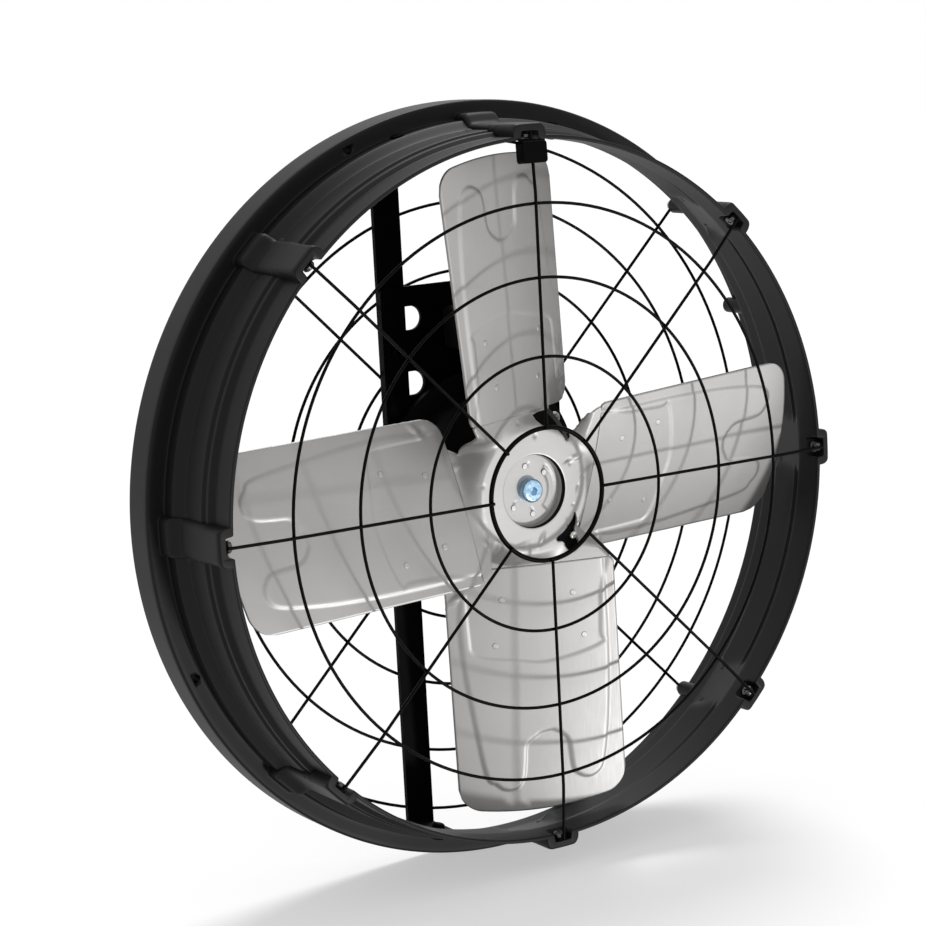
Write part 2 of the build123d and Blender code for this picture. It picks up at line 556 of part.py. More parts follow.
def through_places():
    angles = [radians(45 + 90 * i) for i in range(4)]
    return [(THROUGH_SCREW_R * cos(a), THROUGH_SCREW_R * sin(a)) for a in angles]


def motor_through_screws():
    """Four long screws from the rear shield, through the stack, into lugs in the front shield."""
    length = MOTOR_REAR - MOTOR_FACE_DEPTH - SHIELD_WALL - 4
    screw = Rot(180, 0, 0) * pan_screw(M5_R, M5_HEAD_R, M5_HEAD_H, length)
    return [axial(screw, x, MOTOR_REAR, z) for x, z in through_places()]


def stator_core():
    outer = HOUSING_R - HOUSING_WALL - THREAD_GAP
    core = tube(outer, STATOR_BORE_R, STACK_START, STACK_END)
    slot = Pos(STATOR_BORE_R + TOOTH_LIP, y_at(STACK_START - 1), 0) * Box(
        SLOT_DEPTH, STACK_LENGTH + 2, SLOT_GAP, align=(Align.MIN, Align.MIN, Align.CENTER))
    throat = Pos(STATOR_BORE_R - 1, y_at(STACK_START - 1), 0) * Box(
        TOOTH_LIP + 2, STACK_LENGTH + 2, SLOT_GAP / 2, align=(Align.MIN, Align.MIN, Align.CENTER))
    cut = slot + throat
    cuts = [turned(cut, i * 360 / STATOR_SLOTS) for i in range(STATOR_SLOTS)]
    cuts += [axial(pin(M5_R + HOLE_GAP, STACK_LENGTH + 2, -1), x, STACK_START, z) for x, z in through_places()]
    return core - cuts


def stator_coils():
    """The two coil heads that stand out of the stack; their wires run in the slots."""
    inner, outer = STATOR_BORE_R + TOOTH_LIP, STATOR_BORE_R + TOOTH_LIP + SLOT_DEPTH
    heads = []
    for start, end in ((STACK_START - COIL_LENGTH, STACK_START), (STACK_END, STACK_END + COIL_LENGTH)):
        heads.append(fillet(tube(outer, inner, start, end).edges(), 3.0))
    return heads


def race(outer, inner, groove_r, start):
    """One race of a ball bearing, with its groove."""
    middle = start + BEARING_W / 2
    groove = Pos(0, y_at(middle), 0) * Rot(90, 0, 0) * Torus(groove_r, BALL_R + RACE_GAP)
    return tube(outer, inner, start, start + BEARING_W) - groove


BALL_RING_R = (BEARING_R + BEARING_BORE_R) / 2
BEARING_STARTS = (FRONT_BEARING, REAR_BEARING)


def outer_races():
    return [race(BEARING_R, BALL_RING_R + 2.0, BALL_RING_R, start) for start in BEARING_STARTS]


def inner_races():
    bore = BEARING_BORE_R
    return [race(BALL_RING_R - 2.0, bore, BALL_RING_R, start) for start in BEARING_STARTS]


def bearing_balls():
    balls = []
    for start in BEARING_STARTS:
        ball = Pos(BALL_RING_R, y_at(start + BEARING_W / 2), 0) * Sphere(BALL_R)
        balls += [turned(ball, i * 360 / BALLS) for i in range(BALLS)]
    return balls


def rotor_core():
    rim_r = ROTOR_R - END_RING_STEP
    bore_r = rim_r - END_RING_W
    hub_r = SHAFT_WAIST_R + THREAD_GAP
    front, back = STACK_START - END_RING_H, STACK_END + END_RING_H
    return spun([
        (hub_r, STACK_START), (bore_r, STACK_START), (bore_r, front), (rim_r, front),
        (rim_r, STACK_START), (ROTOR_R, STACK_START), (ROTOR_R, STACK_END), (rim_r, STACK_END),
        (rim_r, back), (bore_r, back), (bore_r, STACK_END), (hub_r, STACK_END),
    ])


def key_slot(gap):
    """The space of the key between shaft and bush, widened by a gap."""
    size = KEY_SIZE + 2 * gap
    return Pos(0, y_at(BUSH_DEPTH + 2), SHAFT_NOSE_R - KEY_SIZE / 2) * Box(
        size, KEY_LENGTH + 2 * gap, size, align=(Align.CENTER, Align.MIN, Align.MIN))


def shaft():
    nose = rod(SHAFT_NOSE_R, BUSH_DEPTH, FRONT_BEARING)
    journal = rod(BEARING_BORE_R - THREAD_GAP / 5, MOTOR_FACE_DEPTH - 2, REAR_BEARING + BEARING_W)
    waist = rod(SHAFT_WAIST_R, FRONT_BEARING + BEARING_W, REAR_BEARING)
    tapped = rod(M10_R + THREAD_GAP, BUSH_DEPTH - 1, BUSH_DEPTH + 24)
    return nose + journal + waist - tapped - key_slot(THREAD_GAP)


# ---- Impeller: four pressed blades riveted in front of a spider's arms ----

def blade_edge(r):
    """The two edges of a blade at this radius, as (sideways, depth)."""
    share = (r - EDGE_ROOT_R) / (IMPELLER_R - EDGE_ROOT_R)
    lead = [a + (b - a) * share for a, b in zip(LEAD_ROOT, LEAD_TIP)]
    trail = [a + (b - a) * share for a, b in zip(TRAIL_ROOT, TRAIL_TIP)]
    return lead, trail


def sheet_point(r, s):
    """Depth of the blade's middle surface, a shallow arch between its two edges."""
    lead, trail = blade_edge(r)
    share = (s - trail[0]) / (lead[0] - trail[0])
    chord = trail[1] + (lead[1] - trail[1]) * share
    return chord - 4 * CAMBER * share * (1 - share)


def sheet_section(r, ends, offset, thickness):
    """A thin curved strip across the blade at one radius, between two sideways places."""
    def point(s, push):
        slope = (sheet_point(r, s + 0.5) - sheet_point(r, s - 0.5))
        length = hypot(1, slope)
        return (r, y_at(sheet_point(r, s) + push / length), s - push * slope / length)
    low, high = ends
    middle = (low + high) / 2
    front = [point(s, offset - thickness / 2) for s in (low, middle, high)]
    back = [point(s, offset + thickness / 2) for s in (low, middle, high)]
    edges = [ThreePointArc(*front), Line(front[2], back[2]), ThreePointArc(*back[::-1]), Line(back[0], front[0])]
    return make_face(Wire(edges))


def flat_section(r, half, depth, thickness):
    front, back = y_at(depth - thickness / 2), y_at(depth + thickness / 2)
    corners = [(r, front, -half), (r, front, half), (r, back, half), (r, back, -half)]
    return make_face(Polyline(*corners, close=True))


def blade():
    lead, trail = blade_edge(ROOT_R)
    lead_end, trail_end = blade_edge(IMPELLER_R)
    spare = 3.0
    sheet = loft([
        sheet_section(ROOT_R - 2, (trail[0] - spare, lead[0] + spare), 0, BLADE_T),
        sheet_section(IMPELLER_R + 2, (trail_end[0] - spare, lead_end[0] + spare), 0, BLADE_T),
    ], ruled=True)
    beyond = IMPELLER_R + 2 * TIP_CORNER_R
    outline = make_face(Polyline(
        (ROOT_R, trail[0]), (beyond, trail_end[0]), (beyond, lead_end[0]), (ROOT_R, lead[0]), close=True))
    outline = outline & Circle(IMPELLER_R)
    outline = fillet(outline.vertices().sort_by(Axis.X)[-2:], TIP_CORNER_R)
    outline = fillet(outline.vertices().sort_by(Axis.X)[:2], ROOT_CORNER_R)
    sheet = sheet & extrude(Plane.XZ * outline, 4 * WALL_DEPTH, both=True)
    return sheet - [rivet_place(r, s) * pin(RIVET_R, 6 * BLADE_T, -3 * BLADE_T) for r, s in BLADE_RIVETS]


def rivet_place(r, s):
    """Where a rivet sits on the blade: its Z points through the sheet towards the wall."""
    slope = sheet_point(r, s + 0.5) - sheet_point(r, s - 0.5)
    return Pos(r, y_at(sheet_point(r, s)), s) * Rot(degrees(atan2(-1, -slope)), 0, 0)


def rivet():
    front = -BLADE_T / 2 - RIVET_SEAT
    back = BLADE_T / 2 + SEAT_GAP + SPIDER_T + RIVET_SEAT
    head = pin(RIVET_HEAD_R, RIVET_HEAD_H, front - RIVET_HEAD_H)
    head = fillet(head.edges().group_by(Axis.Z)[0], RIVET_HEAD_H * 0.7)
    return head + pin(RIVET_R, back - front, front) + pin(RIVET_TAIL_R, RIVET_HEAD_H, back)


def impeller_spider():
    """A dished hub with four twisted arms, pressed from one sheet."""
    slope = 2.0
    bolt_r = M10_R + HOLE_GAP
    hub = spun([
        (bolt_r, DISH_FLOOR), (DISH_R - slope, DISH_FLOOR), (DISH_R, HUB_DEPTH), (HUB_R, HUB_DEPTH),
        (HUB_R, HUB_DEPTH + SPIDER_T), (DISH_R + SPIDER_T, HUB_DEPTH + SPIDER_T),
        (DISH_R + SPIDER_T - slope, BUSH_DEPTH), (bolt_r, BUSH_DEPTH),
    ])
    middle = HUB_DEPTH + SPIDER_T / 2
    thin = SPIDER_T - 2 * ARM_INSET
    root = flat_section(DISH_R + 2 * SPIDER_T, NECK_START_HALF - 1, middle, thin)
    start = flat_section(NECK_START_R, NECK_START_HALF, middle, thin)
    end = sheet_section(NECK_END_R, (-NECK_END_HALF, NECK_END_HALF), SHEET_OFFSET, SPIDER_T)
    tip = sheet_section(ARM_END_R, (-ARM_HALF, ARM_HALF), SHEET_OFFSET, SPIDER_T)
    arm = loft([root, start], ruled=True) + loft([start, end], ruled=True) + loft([end, tip], ruled=True)
    arm = arm - [rivet_place(r, s) * pin(RIVET_R, 8 * BLADE_T, -4 * BLADE_T) for r, s in BLADE_RIVETS]
    spider = hub + [turned(arm, BLADE_TURN + i * 360 / BLADES) for i in range(BLADES)]
    return spider - hub_rivet_holes()


def hub_rivet_places():
    return [(HUB_RIVET_R * cos(radians(a)), HUB_RIVET_R * sin(radians(a))) for a in HUB_RIVET_ANGLES]


def hub_rivet_holes():
    length = SPIDER_T + BUSH_FLANGE_T + 2
    return [axial(pin(RIVET_R, length, -1), x, DISH_FLOOR, z) for x, z in hub_rivet_places()]


def hub_rivets():
    grip = SPIDER_T + BUSH_FLANGE_T
    head = fillet(pin(RIVET_HEAD_R, RIVET_HEAD_H, -RIVET_HEAD_H).edges().group_by(Axis.Z)[0], 0.5)
    body = head + pin(RIVET_R, grip) + pin(RIVET_TAIL_R, RIVET_HEAD_H, grip)
    return [axial(body, x, DISH_FLOOR, z) for x, z in hub_rivet_places()]


def hub_bush():
    bush = spun([
        (SHAFT_NOSE_R + THREAD_GAP, BUSH_DEPTH), (BUSH_FLANGE_R, BUSH_DEPTH),
        (BUSH_FLANGE_R, BUSH_DEPTH + BUSH_FLANGE_T), (BUSH_R, BUSH_DEPTH + BUSH_FLANGE_T),
        (BUSH_R, BUSH_DEPTH + BUSH_LENGTH - 1.5), (BUSH_R - 1.5, BUSH_DEPTH + BUSH_LENGTH),
        (SHAFT_NOSE_R + THREAD_GAP, BUSH_DEPTH + BUSH_LENGTH),
    ])
    return bush - hub_rivet_holes() - key_slot(THREAD_GAP)


def hub_bolt():
    """A button head bolt with a hexagon socket, screwed into the nose of the shaft."""
    seat = DISH_FLOOR - WASHER_T
    head = fillet(pin(M10_HEAD_R, M10_HEAD_H, -M10_HEAD_H).edges().group_by(Axis.Z)[0], 2.6)
    socket = Pos(0, 0, -M10_HEAD_H) * extrude(RegularPolygon(3.0, 6, major_radius=False), 3.5)
    bolt = head + pin(M10_R, BUSH_DEPTH - seat + 22) - socket
    return axial(bolt, 0, seat, 0)


# ---- Small things: run capacitor on the plate, cable gland on the motor ----

def cap_screw_place():
    return (CAP_WIDTH / 2 + CAP_LUG / 2, PLATE_DEPTH, CAP_MIDDLE)


def run_capacitor():
    block = Box(CAP_WIDTH, CAP_THICK, CAP_HEIGHT, align=(Align.CENTER, Align.MAX, Align.CENTER))
    block = fillet(block.edges().filter_by(Axis.Y), 4.0)
    lug = Box(CAP_LUG + 4, 3, 14, align=(Align.MIN, Align.MAX, Align.CENTER))
    body = block + Pos(CAP_WIDTH / 2 - 4, 0, 0) * lug
    x, depth, z = cap_screw_place()
    hole = axial(pin(M5_R + HOLE_GAP, 8, -6), x, depth, z)
    return Pos(0, y_at(PLATE_DEPTH) - SEAT_GAP, CAP_MIDDLE) * body - hole


def capacitor_fasteners():
    x, depth, z = cap_screw_place()
    seat = depth - 3 - 2 * SEAT_GAP
    rear = PLATE_DEPTH + PLATE_T
    screw = pan_screw(M5_R, M5_HEAD_R, M5_HEAD_H, rear - seat + M5_NUT_H + 1)
    save("capacitor_screw", axial(screw, x, seat, z))
    save("capacitor_nut", axial(hex_nut(M5_R, M5_NUT_AF, M5_NUT_H), x, rear, z))


def cable_gland():
    """Only the inlet: the photograph shows no cable."""
    collar = extrude(RegularPolygon(GLAND_R, 6, major_radius=False), 5)
    dome = fillet(pin(GLAND_R - 1, GLAND_LENGTH - 5, 5).edges().group_by(Axis.Z)[-1], 2.5)
    spigot = pin(GLAND_BORE_R + 2 - HOLE_GAP, SHIELD_WALL, -SHIELD_WALL)
    body = collar + dome + spigot - pin(GLAND_BORE_R, GLAND_LENGTH + SHIELD_WALL + 2, -SHIELD_WALL - 1)
    return axial(body, 0, MOTOR_REAR, -GLAND_DROP)


def motor_ear_fasteners():
    screw = pan_screw(M6_R, M6_HEAD_R, M6_HEAD_H, BAR_BACK + WASHER_T + M6_NUT_H + 1 - FLANGE_DEPTH)
    save("motor_screws", [axial(screw, x, FLANGE_DEPTH, z) for x, z in ear_places()])


# ---- Build every sub-part ----
save("duct_ring", duct_ring())
save("front_grille_spokes", front_spokes())
save("front_grille_rings", front_rings()[:-1])
save("front_grille_outer_ring", front_rings()[-1])
save("front_grille_screws", front_grille_screws())
save("grille_clip", grille_clip())
save("rear_grille_spokes", rear_spokes())
save("rear_grille_rings", rear_rings()[:2] + rear_rings()[3:])
save("rear_grille_third_ring", rear_rings()[2])
save("rear_grille_screws", rear_grille_screws())
save("support_bar_left", support_bar(-1))
save("support_bar_right", support_bar(1))
save("bar_foot_rivets", bar_foot_rivets())
save("motor_plate", motor_plate())
plate_fasteners()
motor_ear_fasteners()
save("motor_front_shield", motor_front_shield())
save("motor_housing", motor_housing())
save("motor_rear_shield", motor_rear_shield())
save("motor_through_screws", motor_through_screws())
save("stator_core", stator_core())
save("stator_coils", stator_coils())
save("bearing_outer_races", outer_races())
save("bearing_inner_races", inner_races())
save("bearing_balls", bearing_balls())
save("rotor_core", rotor_core())
save("motor_shaft", shaft())
save("shaft_key", key_slot(0))
save("run_capacitor", run_capacitor())
capacitor_fasteners()
save("cable_gland", cable_gland())
save("hub_bush", hub_bush())
save("impeller_spider", impeller_spider())
save("hub_rivets", hub_rivets())
save("hub_bolt", hub_bolt())
save("hub_washer", axial(washer(M10_R, M10_WASHER_R), 0, DISH_FLOOR - WASHER_T, 0))
one_blade = blade()
one_rivet = rivet()
rivet_set = [rivet_place(r, s) * one_rivet for r, s in BLADE_RIVETS]
rivets = []
for i in range(BLADES):
    angle = BLADE_TURN + i * 360 / BLADES
    save(f"blade_{i + 1}", turned(one_blade, angle))
    rivets += [turned(piece, angle) for piece in rivet_set]
save("blade_rivets", rivets)
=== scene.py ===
import math
import bpy
import bmesh
import numpy as np
from mathutils import Matrix, Vector


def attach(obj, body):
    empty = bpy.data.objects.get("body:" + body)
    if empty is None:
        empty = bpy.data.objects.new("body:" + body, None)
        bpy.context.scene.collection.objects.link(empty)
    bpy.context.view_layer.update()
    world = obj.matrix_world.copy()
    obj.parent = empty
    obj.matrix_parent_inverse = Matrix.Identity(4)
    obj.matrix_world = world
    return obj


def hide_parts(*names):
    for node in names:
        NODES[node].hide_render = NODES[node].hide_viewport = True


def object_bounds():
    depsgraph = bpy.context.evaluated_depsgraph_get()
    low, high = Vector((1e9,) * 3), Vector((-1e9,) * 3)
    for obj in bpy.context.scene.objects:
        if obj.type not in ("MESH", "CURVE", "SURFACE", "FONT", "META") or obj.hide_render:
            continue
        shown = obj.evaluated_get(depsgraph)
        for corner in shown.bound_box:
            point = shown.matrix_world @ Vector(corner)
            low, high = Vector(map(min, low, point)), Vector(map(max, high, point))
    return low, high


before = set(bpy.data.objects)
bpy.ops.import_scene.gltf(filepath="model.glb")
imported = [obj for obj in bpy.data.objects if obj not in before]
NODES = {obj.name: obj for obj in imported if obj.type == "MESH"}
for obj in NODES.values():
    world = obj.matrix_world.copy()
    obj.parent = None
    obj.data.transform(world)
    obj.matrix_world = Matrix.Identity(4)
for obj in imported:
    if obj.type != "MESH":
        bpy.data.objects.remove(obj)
CAD_BOX = [list(corner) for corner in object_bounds()]


# ---- Duct ring ----
# One moulded ring of black plastic about 3 mm thick: a plain band behind the front lip, a bead, a flat
# waist, a wider collar and a step out to the rim that meets the wall. Eight pads stand on it, one for each
# spoke of the front grille, and each is hollowed by a pocket that takes the spoke's eye and its screw.
WALL_DEPTH = 108.0                        # front spokes to the wall, mm
WALL_T = 3.0
BORE_R, BAND_R, WAIST_R, COLLAR_R, RIM_R = 260.0, 263.0, 268.0, 274.5, 288.5
RING_LIP, WAIST_FRONT, WAIST_BACK, COLLAR_FRONT, RIM_FRONT = 3.5, 36.0, 60.0, 68.0, 80.0
PADS = 8
PAD_R, PAD_HALF, PAD_EDGE, KNUCKLE_R = 272.0, 14.2, 9.2, 279.5
PAD_NOSE, PAD_FULLNESS = 2.4, 2.3         # radius of a pad's front edge, and how full its sides are
POCKET_R, POCKET_HALF, POCKET_BACK, POCKET_CORNER, POCKET_EDGE = 266.5, 7.5, 16.0, 6.0, 1.5
POCKETS_END = 30.0                        # depth behind which the inside has grooves instead
CONE_FROM, CONE_RUN = 26.0, 44.0          # depths of the plain cone between the grooves
GROOVE_END, GROOVE_EASE = 24.0, 7.0       # where the grooves run out, to either side of a spoke
ARC_R = 265.0                             # radius at which distances round the ring are measured


def metres(points):
    """(x, depth, z) in mm to metres, with the wall at Y 0."""
    out = np.asarray(points, float).copy()
    out[..., 1] -= WALL_DEPTH
    return out / 1000


def turned(points, angle):
    """Turn (x, depth, z) points about the fan axis, anticlockwise from the front."""
    x, d, z = np.moveaxis(np.asarray(points, float), -1, 0)
    c, s = math.cos(angle), math.sin(angle)
    return np.stack([x * c - z * s, d, x * s + z * c], axis=-1)


def new_piece(name, points, faces, sharp_angle=40):
    """A shaded mesh piece from points in mm."""
    mesh = bpy.data.meshes.new(name)
    mesh.from_pydata(metres(points).tolist(), [], faces)
    mesh.update()
    return shown(name, mesh, sharp_angle)


def shown(name, mesh, sharp_angle=40):
    """A piece from a mesh, smooth but for its sharp edges."""
    mesh.polygons.foreach_set("use_smooth", [True] * len(mesh.polygons))
    mesh.set_sharp_from_angle(angle=math.radians(sharp_angle))
    piece = bpy.data.objects.new(name, mesh)
    bpy.context.collection.objects.link(piece)
    return piece


def grid_faces(rows, columns, wrap_rows=False, wrap_columns=False):
    """Faces of a grid of points, closed on itself where it wraps."""
    faces = []
    for i in range(rows if wrap_rows else rows - 1):
        for j in range(columns if wrap_columns else columns - 1):
            i2, j2 = (i + 1) % rows, (j + 1) % columns
            faces.append((i * columns + j, i * columns + j2, i2 * columns + j2, i2 * columns + j))
    return faces


def outwards(piece):
    """Recalculate the normals of a closed mesh."""
    work = bmesh.new()
    work.from_mesh(piece.data)
    bmesh.ops.recalc_face_normals(work, faces=work.faces)
    work.to_mesh(piece.data)
    work.free()


def smooth(share):
    """Ease a 0 to 1 value in and out."""
    share = np.clip(share, 0, 1)
    return share * share * (3 - 2 * share)


def rounded_line(corners, step):
    """A closed outline from (radius, depth, corner radius, skin), with round corners and divided runs."""
    line = []
    count = len(corners)
    for i, (r, d, bend, skin) in enumerate(corners):
        here = np.array((r, d))
        before = np.array(corners[i - 1][:2]) - here
        after = np.array(corners[(i + 1) % count][:2]) - here
        reach = [np.linalg.norm(v) for v in (before, after)]
        before, after = before / reach[0], after / reach[1]
        half = math.acos(np.clip(before @ after, -1, 1)) / 2
        cut = min(bend / math.tan(half), 0.48 * min(reach))
        start, end = here + before * cut, here + after * cut
        for k in range(5):
            t = k / 4
            line.append((*((1 - t) ** 2 * start + 2 * t * (1 - t) * here + t * t * end), skin))
    dense = []
    for (r0, d0, skin), (r1, d1, _) in zip(line, line[1:] + line[:1]):
        parts = max(1, math.ceil(math.hypot(r1 - r0, d1 - d0) / step))
        dense += [(r0 + (r1 - r0) * k / parts, d0 + (d1 - d0) * k / parts, skin) for k in range(parts)]
    return np.array(dense)


OUTSIDE, RIM, INSIDE = 1, 0, -1
ring_line = rounded_line([
    (BORE_R, RING_LIP, 1.0, INSIDE), (BAND_R, RING_LIP, 1.0, OUTSIDE), (BAND_R, 26, 1.5, OUTSIDE),
    (266.5, 29, 1.8, OUTSIDE), (266.5, 32.6, 1.0, OUTSIDE), (265.5, 34.2, 0.8, OUTSIDE),
    (WAIST_R, WAIST_FRONT, 1.6, OUTSIDE), (WAIST_R, WAIST_BACK, 3.0, OUTSIDE),
    (COLLAR_R, COLLAR_FRONT, 2.5, OUTSIDE), (COLLAR_R, RIM_FRONT, 1.5, OUTSIDE),
    (RIM_R, RIM_FRONT, 2.6, RIM), (RIM_R, WALL_DEPTH, 0.6, RIM), (RIM_R - WALL_T, WALL_DEPTH, 0.5, RIM),
    (RIM_R - WALL_T, RIM_FRONT + WALL_T, 1.5, RIM), (COLLAR_R - WALL_T, RIM_FRONT + WALL_T, 1.5, RIM),
    (COLLAR_R - WALL_T, COLLAR_FRONT + 1.2, 3.0, INSIDE), (WAIST_R - WALL_T, WAIST_BACK + 1.2, 2.5, INSIDE),
    (WAIST_R - WALL_T, WAIST_FRONT + 1.2, 1.6, INSIDE), (262.3, 34.5, 0.8, INSIDE),
    (263.4, 32, 1.0, INSIDE), (263.4, 30, 1.2, INSIDE), (BORE_R, 26.6, 1.5, INSIDE),
], step=3.2)
# distances from a spoke round to halfway to the next, close together where pad and pocket have their edges
side = [0, 2.2, 4.4, 5.8, 6.6, 7.1, 7.5, 7.9, 8.8, 10, 11.2, 12.2, 13, 13.6, 13.9, 14.1, 14.2, 14.7,
        15.6, 17, 19.5]
side += list(np.linspace(GROOVE_END, math.pi * ARC_R / PADS, 15))
across = np.array([-s for s in side[:0:-1]][1:] + side)
around = np.concatenate([across / ARC_R + i * 2 * math.pi / PADS for i in range(PADS)])
offset = np.tile(across, PADS)


def pad_top(d):
    """Outer radius of a pad along the ring, with a rounded front edge and the knuckle on the collar."""
    nose = np.clip((d - RING_LIP) / PAD_NOSE, 0, 1)
    front = PAD_R - PAD_NOSE * (1 - np.sqrt(1 - (1 - nose) ** 2))
    return front + (KNUCKLE_R - PAD_R) * smooth((d - WAIST_BACK) / (COLLAR_FRONT - WAIST_BACK))


def pocket_share(s, d):
    """1 inside a pocket and 0 outside it, with a rounded edge."""
    x = np.abs(s) - (POCKET_HALF - POCKET_CORNER)
    y = d - (POCKET_BACK - POCKET_CORNER)
    distance = np.hypot(np.maximum(x, 0), np.maximum(y, 0)) + np.minimum(np.maximum(x, y), 0) - POCKET_CORNER
    return smooth(0.5 - distance / POCKET_EDGE)


r_line, d_line, skin_line = ring_line.T
shape = np.clip((np.abs(offset) - PAD_EDGE) / (PAD_HALF - PAD_EDGE), 0, 1)
shape = (1 - shape ** PAD_FULLNESS) ** (1 / PAD_FULLNESS)
radius = np.repeat(r_line[:, None], len(around), axis=1)
by_rim = d_line > RIM_FRONT - 2
lift = np.maximum(0, pad_top(d_line) - np.where(by_rim, COLLAR_R, r_line))
lift *= np.clip((RIM_R - r_line) / (RIM_R - COLLAR_R), 0, 1) ** np.where(by_rim, 1, 0)
outside = (skin_line == OUTSIDE) & (d_line <= RIM_FRONT + 0.01)
radius += np.where(outside[:, None], lift[:, None] * shape[None, :], 0)
pocket = pocket_share(offset[None, :], d_line[:, None]) * (POCKET_R - r_line[:, None])
inside = (skin_line == INSIDE) & (d_line < POCKETS_END)
radius += np.where(inside[:, None], pocket, 0)
# the grooves inside run out into a plain cone at each pad
cone = BORE_R + (COLLAR_R - WALL_T - BORE_R) * np.clip((d_line - CONE_FROM) / CONE_RUN, 0, 1)
plain = smooth((GROOVE_END - np.abs(offset)) / GROOVE_EASE)
grooved = (skin_line == INSIDE) & (d_line > CONE_FROM) & (d_line < RIM_FRONT)
radius += np.where(grooved[:, None], (cone - r_line)[:, None] * plain[None, :], 0)
ring_points = np.stack([
    radius * np.cos(around)[None, :], np.repeat(d_line[:, None], len(around), axis=1),
    radius * np.sin(around)[None, :]], axis=-1).reshape(-1, 3)
duct_ring = new_piece("ring_moulding", ring_points, grid_faces(len(r_line), len(around), True, True), 50)
outwards(duct_ring)


def new_material(name):
    material = bpy.data.materials.new(name)
    material.use_nodes = True
    nodes, links = material.node_tree.nodes, material.node_tree.links
    return material, nodes, links, nodes["Principled BSDF"]


def object_noise(nodes, links, scale, detail=3.0, stretch=(1, 1, 1)):
    """Noise on the piece's own coordinates."""
    where = nodes.new("ShaderNodeTexCoord")
    mapping = nodes.new("ShaderNodeMapping")
    mapping.inputs["Scale"].default_value = stretch
    noise = nodes.new("ShaderNodeTexNoise")
    noise.inputs["Scale"].default_value = scale
    noise.inputs["Detail"].default_value = detail
    links.new(where.outputs["Object"], mapping.inputs["Vector"])
    links.new(mapping.outputs["Vector"], noise.inputs["Vector"])
    return noise


def spread(nodes, links, source, low, high):
    """Turn a 0 to 1 value into a range."""
    node = nodes.new("ShaderNodeMapRange")
    node.inputs["From Min"].default_value = 0.3
    node.inputs["From Max"].default_value = 0.7
    node.inputs["To Min"].default_value = low
    node.inputs["To Max"].default_value = high
    links.new(source, node.inputs["Value"])
    return node.outputs["Result"]


def colour_range(nodes, links, source, dark, light):
    """Turn a 0 to 1 value into a colour between two."""
    ramp = nodes.new("ShaderNodeValToRGB")
    ramp.color_ramp.elements[0].position, ramp.color_ramp.elements[0].color = 0.3, (*dark, 1)
    ramp.color_ramp.elements[1].position, ramp.color_ramp.elements[1].color = 0.7, (*light, 1)
    links.new(source, ramp.inputs["Fac"])
    return ramp.outputs["Color"]


def bumped(nodes, links, shader, height, distance, strength=1.0, edge=0.0):
    """Bump from a height, over softened edges where an edge radius is given."""
    bump = nodes.new("ShaderNodeBump")
    bump.inputs["Distance"].default_value = distance
    bump.inputs["Strength"].default_value = strength
    links.new(height, bump.inputs["Height"])
    if edge:
        bevel = nodes.new("ShaderNodeBevel")
        bevel.samples = 4
        bevel.inputs["Radius"].default_value = edge
        links.new(bevel.outputs["Normal"], bump.inputs["Normal"])
    links.new(bump.outputs["Normal"], shader.inputs["Normal"])


ring_plastic, nodes, links, shader = new_material("ring_plastic")
broad = object_noise(nodes, links, 9, 4)
grain = object_noise(nodes, links, 1400, 2)
links.new(colour_range(nodes, links, broad.outputs["Fac"], (0.0042, 0.0042, 0.0043),
                       (0.0062, 0.0062, 0.0064)), shader.inputs["Base Color"])
links.new(spread(nodes, links, broad.outputs["Fac"], 0.44, 0.52), shader.inputs["Roughness"])
shader.inputs["Specular IOR Level"].default_value = 0.15
bumped(nodes, links, shader, grain.outputs["Fac"], 0.00006, 0.5)
duct_ring.data.materials.append(ring_plastic)

# four tubes with the wall holes, and four columns for the screws of the rear grille
BOSS_R, HOLE_R, POST_HOLE_R, BOSS_RING_R = 6.1, 3.2, 1.5, 280.0
BOSS_FROM, POST_END, BOSS_EDGE, POST_EDGE = 81.5, 102.7, 0.3, 0.4
CUT_FROM, CUT_TO = 78.0, 110.0            # depths that the wall holes are cut between
ON_AXIS = 0.001                           # radius of a turned piece's points on the axis
REAR_SWIRL = 7.0                          # how far a rear spoke passes beside the axis
REAR_LEAN = math.asin(REAR_SWIRL / BOSS_RING_R)
wall_angles = [math.radians(22.5 + 90 * i) for i in range(4)]
rear_angles = [math.pi / 4 - REAR_LEAN + i * math.pi / 2 for i in range(4)]


def full_turn(count):
    """Angles evenly round a circle."""
    return np.arange(count) * 2 * math.pi / count


def lathe(name, line, sides):
    """A closed turned piece about the fan axis from (radius, depth) points."""
    angles = full_turn(sides)
    r, d = np.array(line, float).T
    points = np.stack([r[:, None] * np.cos(angles), np.repeat(d[:, None], sides, axis=1),
                       r[:, None] * np.sin(angles)], axis=-1).reshape(-1, 3)
    piece = new_piece(name, points, grid_faces(len(line), sides, True, True), 35)
    outwards(piece)
    return piece


def plain_mesh(piece):
    """Bake the modifiers of a piece into its mesh."""
    bpy.context.view_layer.update()
    graph = bpy.context.evaluated_depsgraph_get()
    baked = bpy.data.meshes.new_from_object(piece.evaluated_get(graph), depsgraph=graph)
    piece.modifiers.clear()
    piece.data = baked


def copies(piece, angles):
    """Replace a turned piece by copies of it round the ring."""
    work = bmesh.new()
    for angle in angles:
        copied = piece.data.copy()
        copied.transform(Matrix.Translation((BOSS_RING_R / 1000 * math.cos(angle), 0,
                                             BOSS_RING_R / 1000 * math.sin(angle))))
        work.from_mesh(copied)
    work.to_mesh(piece.data)
    work.free()


